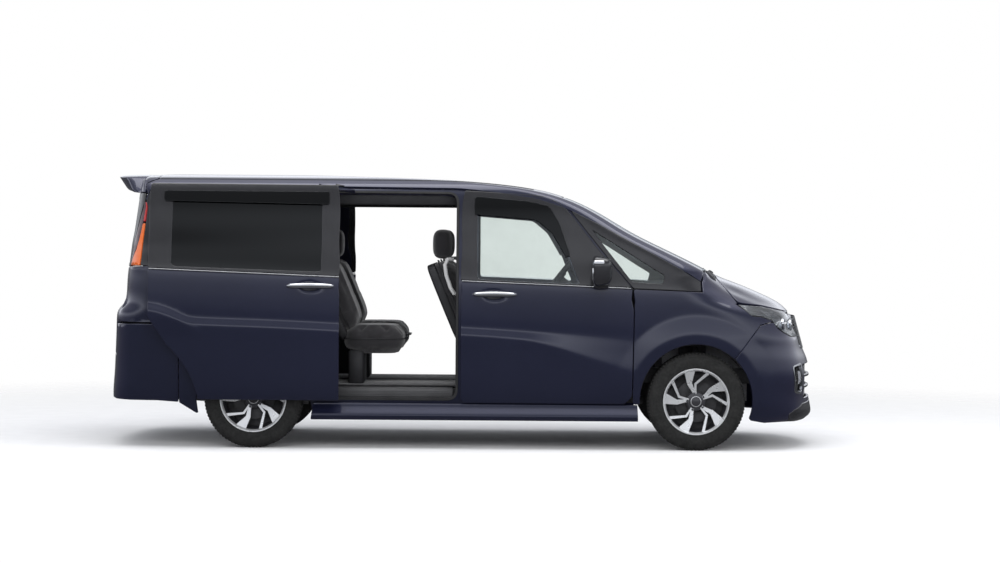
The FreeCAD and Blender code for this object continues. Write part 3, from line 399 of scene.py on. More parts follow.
def nearest(points, others):
    """Distance from each point to the closest of the others."""
    best = np.full(len(points), 1e9)
    for k in range(0, len(others), 64):
        d = points[:, None, :] - others[None, k:k + 64, :]
        best = np.minimum(best, np.hypot(d[..., 0], d[..., 1]).min(1))
    return best


def shrunk(loop, by):
    """The loop moved to its left by a distance, with mitred corners."""
    u, v = unit(loop - np.roll(loop, 1, 0)), unit(np.roll(loop, -1, 0) - loop)
    n = np.stack([-(u + v)[:, 1], (u + v)[:, 0]], 1)
    length = np.linalg.norm(n, axis=1)
    n /= np.maximum(length, 1e-6)[:, None]
    miter = np.minimum(1 / np.maximum(length / 2, 0.35), 1.6)
    return loop + n * by * miter[:, None]


def inset(loop, by):
    """The loop moved inwards by a distance, whichever way round it was given."""
    return shrunk(turned(loop), by)


def grown(loop, by):
    return inset(loop, -by)


def filled(loops, step, guides=()):
    """A flat mesh inside loops[0] and outside the others: points, triangles, loop indices."""
    outer = loops[0]
    low, high = outer.min(0), outer.max(0)
    rows = np.arange(low[1] + step / 2, high[1], step * 0.87)
    grid = []
    for i, y in enumerate(rows):
        xs = np.arange(low[0] + (step / 2 if i % 2 else step), high[0], step)
        grid.append(np.stack([xs, np.full(len(xs), y)], 1))
    grid = np.vstack(grid) if grid else np.zeros((0, 2))
    edge = np.vstack(loops)

    def within(p):
        keep = inside(p, outer)
        for hole in loops[1:]:
            keep &= ~inside(p, hole)
        return keep
    lines = []
    for g in guides:
        keep = within(g) & (nearest(g, edge) > 0.3 * step)
        lines.append(g[keep])
    grid = grid[within(grid)]
    grid = grid[nearest(grid, edge) > 0.6 * step]
    if lines and sum(len(g) for g in lines):
        grid = grid[nearest(grid, np.vstack(lines)) > 0.55 * step]
    points = np.vstack([edge] + lines + [grid])
    edges, start, spans = [], 0, []
    for loop in loops:
        n = len(loop)
        spans.append(np.arange(start, start + n))
        edges += [(start + k, start + (k + 1) % n) for k in range(n)]
        start += n
    verts, _, faces, orig, _, _ = delaunay_2d_cdt([tuple(p) for p in points.tolist()], edges, [],
                                                  0, 1e-5)
    verts = np.array(verts)
    tris = np.array(faces)
    place = {}
    for new, olds in enumerate(orig):
        for old in olds:
            place[old] = new
    middle = verts[tris].mean(1)
    tris = tris[within(middle)]
    v = verts[tris]
    twice = np.cross(v[:, 1] - v[:, 0], v[:, 2] - v[:, 0])
    tris = tris[np.abs(twice) > 1e-4]
    twice = twice[np.abs(twice) > 1e-4]
    tris[twice < 0] = tris[twice < 0][:, ::-1]
    return verts, tris, [np.array([place[k] for k in span]) for span in spans]


def normals(surface, p):
    """The surface's outward normals at points p."""
    a = surface(p + (1, 0)) - surface(p - (1, 0))
    b = surface(p + (0, 1)) - surface(p - (0, 1))
    n = np.cross(a, b)
    return n / np.maximum(np.linalg.norm(n, axis=1), 1e-9)[:, None]


def outwards(p, n):
    """Directions across the surface, away from a closed edge of points p with normals n."""
    return unit(np.cross(unit(np.roll(p, -1, 0) - np.roll(p, 1, 0)), n))


def strip(first, second):
    """Quads between two closed rows of vertex numbers."""
    return [(a, b, d, c) for a, b, c, d in zip(first, np.roll(first, -1), second,
                                               np.roll(second, -1))]


def rings(rows, size, closed):
    """Quads over rows of points, each a closed ring of one size."""
    number = np.arange(rows * size).reshape(rows, size)
    faces = []
    for i in range(rows if closed else rows - 1):
        faces += strip(number[i], number[(i + 1) % rows])
    return faces


def skin(surface, loops, step=16.0, thick=14.0, hem=3.0, guides=(), sunk=0.0):
    """A panel that follows the surface inside loops[0] and outside the rest.

    Its edges are rolled over by hem and run in by thick, and its back is closed."""
    loops = [turned(loops[0])] + [turned(h, False) for h in loops[1:]]
    inner = [shrunk(loop, hem + LAND) for loop in loops]
    flat, tris, spans = filled(inner, step, guides)
    n = normals(surface, flat)
    verts = [surface(flat) - n * sunk]
    faces = [tuple(t) for t in tris.tolist()]
    count = len(flat)
    ends = []
    for span in spans:
        p, edge_n = verts[0][span], n[span]
        e = outwards(p, edge_n)
        row = span
        for out, down in ((LAND, 0), (LAND + 0.7 * hem, 0.3 * hem), (LAND + hem, hem),
                          (LAND + hem, thick)):
            verts.append(p + e * out - edge_n * down)
            new = np.arange(count, count + len(span))
            count += len(span)
            faces += [(b, a, c, d) for a, b, d, c in strip(row, new)]
            row = new
        ends.append(row)
    flat, tris, spans = filled(inner, max(3.5 * step, BACK_STEP))
    numbers = np.arange(count, count + len(flat))
    for row, span in zip(ends, spans):
        numbers[span] = row
    verts.append(surface(flat) - normals(surface, flat) * (sunk + thick))
    faces += [tuple(int(numbers[k]) for k in (t[0], t[2], t[1])) for t in tris]
    return np.vstack(verts), faces


def rim_strip(surface, loop, profile, sunk=0.0):
    """A closed moulding along a loop. profile is (outwards, depth) pairs, closed."""
    loop = turned(loop)
    n = normals(surface, loop)
    p = surface(loop) - n * sunk
    e = outwards(p, n)
    verts = np.vstack([p + e * out - n * down for out, down in profile])
    return verts, rings(len(profile), len(loop), True)


def tube(path, radius, sides=10, closed=False, flat=1.0):
    """A round bar along a path of points, with closed ends."""
    path = np.asarray(path, float)
    t = unit(np.roll(path, -1, 0) - np.roll(path, 1, 0) if closed else np.gradient(path, axis=0))
    u = np.cross(t[0], (0, 0, 1.0) if abs(t[0][2]) < 0.9 else (1.0, 0, 0))
    angle = np.linspace(0, 2 * math.pi, sides, endpoint=False)
    verts = []
    for p, along, r in zip(path, t, np.broadcast_to(radius, len(path))):
        u = u - along * np.dot(u, along)
        u /= np.linalg.norm(u)
        v = np.cross(along, u)
        verts.append(p + r * (np.outer(np.cos(angle), u) + flat * np.outer(np.sin(angle), v)))
    m = len(path)
    faces = rings(m, sides, closed)
    if not closed:
        faces += [tuple(range(sides))[::-1], tuple(range((m - 1) * sides, m * sides))]
    return np.vstack(verts), faces


def joined(*shapes):
    verts, faces, start = [], [], 0
    for v, f in shapes:
        verts.append(v)
        faces += [tuple(k + start for k in face) for face in f]
        start += len(v)
    return np.vstack(verts), faces


def mirrored(shape):
    return shape[0] * (1, -1, 1), [tuple(f)[::-1] for f in shape[1]]


def moved(shape, x=0.0, y=0.0, z=0.0):
    return shape[0] + (x, y, z), shape[1]


def slid(shape):
    """A sliding door's piece, from its closed place to its open one."""
    return moved(shape, *SLIDE_SHIFT)


def new_object(name, shape):
    """A shape in millimetres as an object in metres."""
    verts, faces = shape
    mesh = bpy.data.meshes.new(name)
    mesh.from_pydata((verts * MM).tolist(), [], [tuple(int(k) for k in f) for f in faces])
    ob = bpy.data.objects.new(name, mesh)
    bpy.context.scene.collection.objects.link(ob)
    return ob


def with_modifiers(ob):
    """A new mesh of an object with its modifiers applied."""
    graph = bpy.context.evaluated_depsgraph_get()
    return bpy.data.meshes.new_from_object(ob.evaluated_get(graph))


def points_of(mesh):
    """A mesh's points in millimetres."""
    flat = np.empty(len(mesh.vertices) * 3)
    mesh.vertices.foreach_get("co", flat)
    return flat.reshape(-1, 3) / MM


def faces_of(mesh):
    return [tuple(p.vertices) for p in mesh.polygons]


def piece(name, shape, finish, on="body", smooth=48, replaces=()):
    """A finished piece: its points in millimetres, its finish, and the body it rides on."""
    ob = new_object(name, shape)
    ob.data.polygons.foreach_set("use_smooth", [True] * len(ob.data.polygons))
    ob.data.set_sharp_from_angle(angle=math.radians(smooth))
    material, slot = FINISH[finish]
    ob.data.materials.append(material)
    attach(ob, on)
    if replaces:
        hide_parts(*replaces)
    return ob


def both(name, shape, finish, on="body", smooth=48, replaces=()):
    """The piece on the left, and its mirror image on the right.

    %s in a name, a body or a node stands for the side; a name without it ends with the side."""
    name = name if "%s" in name else name + "_%s"
    for hand, form in (("left", shape), ("right", mirrored(shape))):
        tag, rides, *takes = [text.replace("%s", hand) for text in (name, on, *replaces)]
        piece(tag, form, finish, rides, smooth, takes)


# Finishes


class Nodes:
    """The node tree of a material or the world, built a node at a time."""

    def __init__(self, owner, output="OutputMaterial"):
        self.owner = owner
        owner.use_nodes = True
        self.tree = owner.node_tree
        self.tree.nodes.clear()
        self.out = self.tree.nodes.new("ShaderNode" + output)

    def add(self, kind, _inputs=None, **props):
        node = self.tree.nodes.new("ShaderNode" + kind)
        for key, value in props.items():
            setattr(node, key, value)
        for key, value in (_inputs or {}).items():
            self.set(node, key, value)
        return node

    def set(self, node, key, value):
        """Give an input a value, or a link from a socket or a node's first output."""
        if isinstance(value, bpy.types.Node):
            value = value.outputs[0]
        if isinstance(value, bpy.types.NodeSocket):
            self.tree.links.new(value, node.inputs[key])
        else:
            node.inputs[key].default_value = value

    def place(self):
        return self.add("TexCoord").outputs["Object"]

    def noise(self, scale, detail=4.0, rough=0.5):
        return self.add("TexNoise", {"Vector": self.place(), "Scale": scale, "Detail": detail,
                                     "Roughness": rough}).outputs["Fac"]

    def wave(self, scale, direction, distortion=0.0):
        return self.add("TexWave", {"Vector": self.place(), "Scale": scale,
                                    "Distortion": distortion},
                        bands_direction=direction).outputs["Fac"]

    def between(self, value, low, high, a=0, b=1):
        return self.add("MapRange", {"Value": value, "From Min": low, "From Max": high,
                                     "To Min": a, "To Max": b}).outputs["Result"]

    def mixed(self, share, a, b):
        return self.add("Mix", {0: share, 6: a, 7: b}, data_type="RGBA").outputs[2]

    def cloudy(self, scale, detail, a, b, low=0.3):
        """A slow drift between two colours."""
        return self.mixed(self.between(self.noise(scale, detail), low, 1 - low), a, b)

    def bump(self, height, distance, strength=1.0, normal=None):
        node = self.add("Bump", {"Height": height, "Distance": distance, "Strength": strength})
        if normal:
            self.set(node, "Normal", normal)
        return node.outputs["Normal"]

    def finish(self, shader):
        self.set(self.out, "Surface", shader)
        return self.owner


def material(name):
    return Nodes(bpy.data.materials.new(name))


def shade(color, by):
    """A colour made darker or lighter."""
    return tuple(min(1, c * by) for c in color[:3]) + (1,)


def surfaced(name, base, rough, metallic=0.0, variation=0.12, grain=None, coat=0.0, scale=9.0,
             sheen=0.0):
    """A solid finish with a cloudy tone, uneven gloss and a fine grain (scale, height)."""
    n = material(name)
    color = n.cloudy(scale, 5, shade(base, 1 - variation), shade(base, 1 + variation), 0.35)
    gloss = n.between(n.noise(scale * 2.3, 6, 0.6), 0.3, 0.7, rough * 0.85, rough * 1.15)
    shader = n.add("BsdfPrincipled", {
        "Base Color": color, "Roughness": gloss, "Metallic": metallic,
        "Coat Weight": coat, "Coat Roughness": 0.03, "Sheen Weight": sheen})
    if grain:
        n.set(shader, "Normal", n.bump(n.noise(grain[0], 3, 0.6), grain[1]))
    return n.finish(shader)


def paint():
    """Metallic paint under a clear coat: fine flakes, and a painted violet sheen that makes the
    colour lighter at a low angle.
    """
    n = material("violet_navy_paint")
    flake = n.add("TexVoronoi", {"Vector": n.place(), "Scale": 2600.0}).outputs["Color"]
    painted_sheen_angle = n.add("LayerWeight", {"Blend": 0.42}).outputs["Facing"]
    deep = n.cloudy(1.6, 3, (0.0085, 0.0108, 0.030, 1), (0.0115, 0.0138, 0.036, 1))
    # Painted sheen: the base colour turns a lighter violet towards a low angle
    color = n.mixed(n.between(painted_sheen_angle, 0.1, 0.9, 0, 0.85), deep, (0.036, 0.032, 0.078, 1))
    gray = n.add("SeparateColor", {"Color": flake}).outputs["Red"]
    color = n.mixed(n.between(gray, 0.86, 1.0, 0, 0.35), color, (0.05, 0.05, 0.12, 1))
    return n.finish(n.add("BsdfPrincipled", {
        "Base Color": color, "Metallic": 0.55, "Roughness": 0.33, "Coat Weight": 1.0,
        "Coat Roughness": 0.02, "Normal": n.bump(gray, 0.00002, 0.25),
        "Coat Normal": n.bump(n.noise(260, 2, 0.4), 0.00001, 0.25)}))


def see_through(n, tone, gloss, gloss_rough, low, high):
    """Thin glass: it mirrors more at a low angle and lets tinted light through."""
    share = n.between(n.add("Fresnel", {"IOR": 1.5}), 0, 1, low, high)
    through = n.add("BsdfTransparent", {"Color": tone})
    mirror = n.add("BsdfGlossy", {"Color": gloss, "Roughness": gloss_rough})
    return n.finish(n.add("MixShader", {0: share, 1: through, 2: mirror}))


def glass(name, tint, reflect=1.0):
    n = material(name)
    return see_through(n, n.cloudy(3.0, 4, tint, shade(tint, 1.04)), (0.9, 0.93, 0.95, 1),
                       n.between(n.noise(30, 4), 0.3, 0.7, 0.0, 0.012), 0.01, reflect)


def cloth_finish(name, base, thread=900.0):
    """Woven upholstery: crossed threads in the bump and a soft sheen."""
    n = material(name)
    warp, weft = (n.wave(thread / 6.3, way, 0.6) for way in "XZ")
    weave = n.add("Math", {0: warp, 1: weft}, operation="MULTIPLY").outputs[0]
    color = n.cloudy(14, 6, shade(base, 0.8), base)
    color = n.mixed(n.between(weave, 0, 1, 0, 0.3), color, shade(base, 1.5))
    creased = n.bump(n.noise(18, 4), 0.004, 0.35)
    return n.finish(n.add("BsdfPrincipled", {
        "Base Color": color, "Roughness": 0.85, "Sheen Weight": 0.35, "Sheen Roughness": 0.5,
        "Normal": n.bump(weave, 0.0006, 0.6, creased)}))


def lamp_glass():
    n = material("lamp_cover")
    tone = n.cloudy(12, 4, (0.93, 0.95, 0.96, 1), (0.98, 0.99, 1.0, 1))
    return see_through(n, tone, (0.95, 0.95, 0.95, 1), 0.02, 0.03, 0.9)


def tail_lens(name, tone, dark):
    """A tail lamp's coloured lens, ribbed inside."""
    n = material(name)
    ribs = n.wave(40.0, "Z")
    return n.finish(n.add("BsdfPrincipled", {
        "Base Color": n.mixed(n.between(ribs, 0, 1), dark, tone), "Roughness": 0.12,
        "Coat Weight": 1.0, "Coat Roughness": 0.02, "Normal": n.bump(ribs, 0.0008, 0.5)}))


# Each finish with the slot that it fills
FINISH = {
    "paint": (paint(), "body_paint"),
    "clear": (glass("clear_glass", (0.90, 0.925, 0.915, 1), 0.9), "clear_glass"),
    "privacy": (glass("privacy_glass", (0.045, 0.045, 0.05, 1)), "privacy_glass"),
    "cover": (lamp_glass(), "lamp_lens"),
    "smoke": (glass("smoked_visor", (0.10, 0.10, 0.11, 1), 0.7), "privacy_glass"),
    "red": (tail_lens("red_lens", (0.50, 0.010, 0.012, 1), (0.28, 0.006, 0.008, 1)),
            "tail_lens"),
    # bowl: painted shade, a near-black coat for the hollows behind the door handles
    "bowl": (surfaced("shaded_paint", (0.004, 0.004, 0.008, 1), 0.3, coat=0.6,
                      grain=(400, 0.00002)), "body_paint"),
    "tail_dark": (tail_lens("smoked_tail_lens", (0.060, 0.016, 0.022, 1),
                            (0.030, 0.010, 0.015, 1)), "tail_lens"),
    "orange": (tail_lens("orange_lens", (0.80, 0.16, 0.015, 1), (0.55, 0.09, 0.01, 1)),
               "tail_lens"),
    "white_lens": (tail_lens("white_lens", (0.55, 0.55, 0.57, 1), (0.32, 0.32, 0.34, 1)),
                   "tail_lens"),
    "black": (surfaced("gloss_black_trim", (0.012, 0.012, 0.014, 1), 0.22, coat=0.5,
                       grain=(300, 0.00001)), "black_plastic"),
    "matt": (surfaced("grained_black_plastic", (0.014, 0.014, 0.015, 1), 0.62,
                      grain=(900, 0.00025)), "black_plastic"),
    "rubber": (surfaced("seal_rubber", (0.016, 0.016, 0.017, 1), 0.7, grain=(500, 0.0001)),
               "black_plastic"),
    "grey": (surfaced("grey_plastic", (0.045, 0.045, 0.047, 1), 0.55, grain=(900, 0.0002)),
             "cabin_plastic"),
    "light": (surfaced("light_grey_plastic", (0.46, 0.46, 0.46, 1), 0.5,
                       grain=(900, 0.0002)), "cabin_plastic"),
    "trim": (surfaced("dark_cabin_plastic", (0.019, 0.019, 0.021, 1), 0.6,
                      grain=(1100, 0.0003)), "cabin_plastic"),
    "lining": (surfaced("roof_lining", (0.32, 0.32, 0.31, 1), 0.95, grain=(1500, 0.0004),
                        sheen=0.2), "cabin_plastic"),
    "carpet": (surfaced("floor_carpet", (0.035, 0.035, 0.038, 1), 0.97, variation=0.35,
                        grain=(1400, 0.0015), sheen=0.3, scale=60), "carpet"),
    "cloth": (cloth_finish("seat_weave", (0.016, 0.015, 0.017, 1)), "seat_cloth"),
    "chrome": (surfaced("chrome", (0.70, 0.71, 0.73, 1), 0.07, metallic=1.0, variation=0.03,
                        grain=(60, 0.00001)), "chrome_trim"),
    "reflector": (surfaced("lamp_reflector", (0.82, 0.83, 0.85, 1), 0.12, metallic=1.0,
                           variation=0.04, grain=(90, 0.00004)), "chrome_trim"),
    "lamp_shell": (surfaced("lamp_shell", (0.78, 0.81, 0.87, 1), 0.3, metallic=0.3,
                            variation=0.05, grain=(90, 0.00003)), "lamp_lens"),
    "steel": (surfaced("underbody_steel", (0.060, 0.060, 0.063, 1), 0.6, metallic=0.5,
                       variation=0.3, grain=(300, 0.0003), scale=14), "steel"),
    "cast": (surfaced("cast_alloy", (0.34, 0.34, 0.35, 1), 0.5, metallic=0.8, variation=0.2,
                      grain=(700, 0.0004)), "engine_alloy"),
    "tyre": (surfaced("tyre_rubber", (0.011, 0.011, 0.0105, 1), 0.78, variation=0.25,
                      grain=(800, 0.0004), scale=25), "tyre_rubber"),
    "alloy": (surfaced("machined_alloy", (0.74, 0.75, 0.76, 1), 0.3, metallic=0.7,
                       variation=0.04, grain=(900, 0.00005)), "wheel_alloy"),
    "pocket": (surfaced("dark_wheel_paint", (0.022, 0.022, 0.026, 1), 0.35, coat=0.5,
                        grain=(400, 0.00005)), "wheel_alloy"),
}

# The body's top seen from above, as one table of heights
TOP_X = np.arange(-2420, 2421, 10.0)
TOP_Y = np.arange(0, 901, 10.0)
OFF_BODY = -60.0
SILL_Z = 165.0


def top_table():
    """Heights of the body's top over TOP_X, and over TOP_Y to both sides, softened."""
    a = np.linspace(0, A_END, 700)
    reach, heights = [], []
    for q in np.arange(0, Q_END, 3.0):
        x, y = body(np.stack([a, np.full(len(a), q)], 1), None)[::-1, :2].T
        reach.append(np.interp(TOP_X, x, y, left=OFF_BODY, right=OFF_BODY))
        heights.append(column(Z0, q) + column(SLOPE, q) * TOP_X)
    table = []
    for y, z in zip(np.array(reach).T[:, ::-1], np.array(heights).T[:, ::-1]):
        on = y > OFF_BODY
        if on.sum() < 3:
            table.append(np.full(len(TOP_Y), SILL_Z))
            continue
        rising = np.maximum.accumulate(y[on] + np.arange(on.sum()) * 1e-6)
        table.append(np.interp(TOP_Y, rising, z[on], right=SILL_Z))
    table = np.array(table)
    table = np.hstack([table[:, :0:-1], table])
    k = np.exp(-0.5 * (np.arange(-5, 6) / 1.6) ** 2)
    k /= k.sum()
    for axis in (1, 0):
        table = np.apply_along_axis(lambda r: np.convolve(np.pad(r, 5, "edge"), k, "valid"),
                                    axis, table)
    return table


TOP = top_table()


def top_height(x, y):
    fx = np.clip((np.asarray(x, float) - TOP_X[0]) / 10, 0, len(TOP_X) - 1.001)
    fy = np.clip((np.asarray(y, float) + TOP_Y[-1]) / 10, 0, TOP.shape[1] - 1.001)
    i, j = fx.astype(int), fy.astype(int)
    u, v = fx - i, fy - j
    return ((1 - u) * (1 - v) * TOP[i, j] + u * (1 - v) * TOP[i + 1, j]
            + (1 - u) * v * TOP[i, j + 1] + u * v * TOP[i + 1, j + 1])


def top(p):
    """The body from above, at (x, y)."""
    return np.stack([p[:, 0], p[:, 1], top_height(p[:, 0], p[:, 1])], 1)


def screen_xy(points):
    """Front-view points (y, z) on the windscreen, seen from above (x, y)."""
    p = np.asarray(points, float)
    x = search(np.full(len(p), -200.0), np.full(len(p), 1800.0),
               lambda m: top_height(m, p[:, 0]) < p[:, 1])
    return np.stack([x, p[:, 0]], 1)


def side_to_top(points):
    """Side-view points (x, z) on the left, seen from above (x, y)."""
    return body(from_side(points), None)[:, :2]


def side(points, radius=0.0, step=12.0):
    """A closed side-view outline on the left half."""
    return from_side(trace(points, radius, step))


def open_side(points, radius=0.0, step=12.0):
    return from_side(trace(points, radius, step, closed=False))


def front(points, step=12.0, radius=0.0):
    return from_end(trace(points, radius, step, closed=False))


def rear(points, step=12.0, radius=0.0):
    return from_end(trace(points, radius, step, closed=False), rear=True)


def whole_front(half):
    """A left half outline in (a, q), from the middle round to the middle, made whole."""
    return np.vstack([half, half[::-1] * (-1, 1)])


def whole_rear(half):
    return np.vstack([half, half[::-1] * (-1, 1) + (2 * A_END, 0)])


def whole_top(half):
    return np.vstack([half, half[::-1] * (1, -1)])


def crease_guides(x0, x1):
    """Lines along the shoulder crease for a panel's mesh to follow."""
    x = np.arange(x0, x1, 11.0)
    return [from_side(np.stack([x, crease_height(x) + d], 1))
            for d in (7, 1, -5, -14, -28, -37, -43, -50)]


def polar(r, degrees):
    return r * math.cos(math.radians(degrees)), r * math.sin(math.radians(degrees))


def arch_curve(x, start, end, r=ARCH_RADIUS, n=50):
    """A wheel arch in the side view."""
    arc = (polar(r, t) for t in np.linspace(start, end, n))
    return [(x + along, ARCH_Z + up) for along, up in arc]


# Fixed sides: the quarter panel, and the roof rail with the front pillar
quarter_side = open_side(
    [(SLIDE_END, 1146), (SLIDE_END, 830), (-1167, 648)]
    + arc_points((-1167, 648), (-1027, 470), (-985, 340), 12)
    + arch_curve(X_REAR_AXLE, 2, 178, n=90)
    + [(-1730, 300), (-1722, 218), (-1742, 226), (-1846, 292), (-1848, 806)])
tail_edge = from_end([(709, 806), (709, 900), (709, 1000), (708, 1100), (707, 1178)], rear=True)
quarter = np.vstack([quarter_side, tail_edge, from_side([(-2106, 1178), (-2060, 1175)])])
both("quarter_panel", skin(body, [quarter], 12, guides=crease_guides(-2070, -1295)), "paint",
     replaces=["body_side_%s"])
rail_low = open_side([(1560, 1104), (1422, 1186), (1158, 1330), (894, 1473), (697, 1569),
                      (499, 1634), (236, 1678), (-8, 1703), (-849, 1710), (-1999, 1715),
                      (-2052, 1700), (-2080, 1620)], 40)
rail_end = from_end([(708, 1618), (704, 1650), (680, 1690), (652, 1722)], rear=True)
ditch_x = np.arange(-2006, 480, 12.0)
ditch = from_side(np.stack([ditch_x, top_height(ditch_x, np.full(len(ditch_x), 612.0))], 1))
screen_edge = front([(612, 1650), (616, 1600), (624, 1500), (633, 1380), (644, 1250),
                     (652, 1176)], 14)
rail = np.vstack([screen_edge, rail_low, rail_end, ditch])
both("roof_rail", skin(plain, [rail], 12), "paint")


def rib_box(x0, x1, y0, y1, z0, z1, soft=4.0):
    """A block with bevelled edges."""
    low, high = np.array([x0, y0, z0]), np.array([x1, y1, z1])
    c, h = (low + high) / 2, (high - low) / 2
    s = min(soft, 0.9 * h.min())
    verts, index = [], {}
    corners = list(product((-1, 1), repeat=3))
    for key in corners:
        for axis in range(3):
            p = h - s
            p[axis] = h[axis]
            index[(*key, axis)] = len(verts)
            verts.append(c + p * key)

    def at(axis, sign, su, sv, face):
        key = [0, 0, 0]
        key[axis], key[(axis + 1) % 3], key[(axis + 2) % 3] = sign, su, sv
        return index[(*key, face)]
    faces = []
    for axis in range(3):
        for sign in (-1, 1):
            ring = [at(axis, sign, su, sv, axis)
                    for su, sv in ((-1, -1), (1, -1), (1, 1), (-1, 1))]
            faces.append(ring if sign > 0 else ring[::-1])
    for axis in range(3):
        u, v = (axis + 1) % 3, (axis + 2) % 3
        for su, sv in product((-1, 1), repeat=2):
            ring = [at(axis, sign, su, sv, face)
                    for sign, face in ((-1, u), (1, u), (1, v), (-1, v))]
            faces.append(ring[::-1] if su * sv > 0 else ring)
    for key in corners:
        ring = [index[(*key, axis)] for axis in range(3)]
        faces.append(ring if np.prod(key) > 0 else ring[::-1])
    return np.array(verts), faces


def pane(window, over=9, sunk=7):
    """Glass behind a window's edge."""
    return skin(plain, [grown(window, over)], 30, thick=4, hem=1, sunk=sunk)


def door(tag, place, on, node, glazing, crease, low, high, window, whole, card):
    """A side door's skin, window frame, pane, inner shell and card.

    place moves each from the closed door to where it stands. glazing is the pane's name,
    finish and node."""
    low, high = (inset(side(*outline), GAP / 2) for outline in (low, high))
    window = side(*window)
    inner = inset(side(whole, 30), 30)
    for part, form, finish, takes in (
            ("skin", skin(body, [low], 12, guides=crease_guides(*crease)), "paint", [node]),
            ("frame", skin(plain, [high, window], 15), "black", ()),
            (glazing[0], pane(window), glazing[1], [glazing[2]]),
            ("shell", skin(plain, [inner, shrunk(window, -6)], 30, thick=52, sunk=15), "paint",
             ()),
            ("card", skin(plain, [inset(*card)], 30, thick=12, sunk=66, hem=5), "trim", ())):
        both(tag + "_" + part, place(form), finish, on, replaces=takes)


# Front doors
door_whole = [(10, 300), (1040, 298), (1095, 330, 1112, 400), (1121, 880), (1106, 1045),
              (892, 1305), (690, 1555), (570, 1640, 430, 1668), (DOOR_X, 1692), (DOOR_X, 325)]
door("front_door", lambda form: form, "front_door_%s", "front_door_%s",
     ("glass", "clear", "door_glass_%s"), (-10, 1115),
     low=([(10, 300), (1040, 298), (1095, 330, 1112, 400), (1121, 880), (1110, belt(1110) - 5),
           (DOOR_X, belt(DOOR_X) - 5), (DOOR_X, 325)], 14),
     high=([(DOOR_X, belt(DOOR_X) + 3), (1104, belt(1104) + 3), (892, 1305), (690, 1555),
            (570, 1640, 430, 1668), (DOOR_X, 1692)], 6),
     window=([(95, 1108), (765, 1082), (690, 1262), (600, 1478), (545, 1570, 420, 1598),
              (95, 1628)], 26),
     whole=door_whole,
     card=(side([(30, 340), (1030, 330), (1085, 420), (1090, 880), (1060, belt(1060)),
                 (20, belt(20))], 40), 10))

# Sliding doors, made closed and slid back
door("sliding_door", slid, "body", "sliding_doors", ("pane", "privacy", "sliding_door_glass"),
     (-1290, -48),
     low=([(SLIDE_X, 296), (SLIDE_X, belt(SLIDE_X) - 5), (SLIDE_END, belt(SLIDE_END) - 5),
           (SLIDE_END, 830), (-1167, 648), (-1027, 470, -965, 296)], 14),
     high=([(SLIDE_X, belt(SLIDE_X) + 3), (SLIDE_X, 1700), (SLIDE_END, 1706),
            (SLIDE_END, belt(SLIDE_END) + 3)], 14),
     window=([(-170, 1132), (-170, 1634), (-1140, 1638), (-1140, 1162)], 34),
     whole=[(SLIDE_X, 296), (SLIDE_X, 1700), (SLIDE_END, 1706), (SLIDE_END, 830), (-1167, 648),
            (-1027, 470, -965, 296)],
     card=(side([(-75, 340), (-75, belt(-75)), (-1262, belt(-1262)), (-1262, 850),
                 (-1140, 640), (-1000, 430), (-960, 340)], 40), 8))

# The frame that the side doors close on, and the sill's skirt
frame_side = side([(1124, 250), (1124, 286), (1062, 286), (1060, 330), (40, 330), (15, 355),
                   (15, 1662), (430, 1638), (548, 1608), (668, 1536), (866, 1288), (1052, 1068),
                   (1128, 1066), (930, 1308), (728, 1564), (590, 1646, 432, 1676),
                   (DOOR_X, 1702), (SLIDE_END, 1714), (-2000, 1710), (-2064, 1690),
                   (-2084, 1610), (-2096, 1180), (-1985, 806), (-1742, 520)]
                  + arch_curve(X_REAR_AXLE, 150, 30, 388, 40) + [(-985, 250)])
doorway = side([(SLIDE_X, 322), (SLIDE_X, 1672), (-1262, 1676), (-1262, 846), (-1140, 636),
                (-1000, 452, -940, 322)], 60)
quarter_light = side([(-1366, 1196), (-1366, 1642), (-2030, 1634), (-2046, 1200)], 30)
both("side_frame", skin(plain, [frame_side, doorway, quarter_light], 40, thick=52, sunk=16),
     "paint")
both("sill_skirt", skin(skirted, [side([(-974, 299), (-988, 186), (1150, 186), (1146, 296),
                                        (1040, 293), (10, 295)], 6)], 12, thick=20), "paint")


def grip_bowl(x, z):
    """A near-black sheet laid over the hollow behind a door handle: painted shade in the hollow.
    """
    loop = from_side([(x + 68 * math.cos(t), z + 28 * math.sin(t))
                      for t in np.linspace(0, 2 * math.pi, 40, endpoint=False)])
    return skin(body, [loop], 12, thick=3, hem=1, sunk=-0.8)


# Painted shade: a near-black coat over each door handle's hollow
both("front_door_bowl", grip_bowl(*GRIPS[0]), "bowl", "front_door_%s")
both("sliding_door_bowl", slid(grip_bowl(*GRIPS[1])), "bowl")

# Quarter windows
loop = side([(-1297, 1152), (-1297, 1698), (-1999, 1706), (-2048, 1692), (-2080, 1612),
             (-2068, 1565), (-2104, 1184)], 10)
window = side([(-1353, 1186), (-1353, 1652), (-2036, 1642), (-2056, 1190)], 30)
both("rear_quarter_frame", skin(plain, [loop, window], 15), "black")
both("rear_quarter_pane", pane(window), "privacy", replaces=["rear_quarter_glass"])
loop = side([(1116, 1054), (1560, 1038), (1556, 1100), (1422, 1182), (1158, 1326),
             (894, 1469), (702, 1562), (898, 1310)], 5)
window = side([(842, 1440), (1104, 1098), (1300, 1087), (1316, 1142)], 14)
both("front_quarter_frame", skin(plain, [loop, window], 15, thick=30), "black")
both("front_pillar_trim", skin(plain, [inset(loop, 6), window], 30, thick=8, sunk=34),
     "lining")
both("front_quarter_pane", pane(window, 7, 6), "clear", replaces=["front_quarter_glass"])

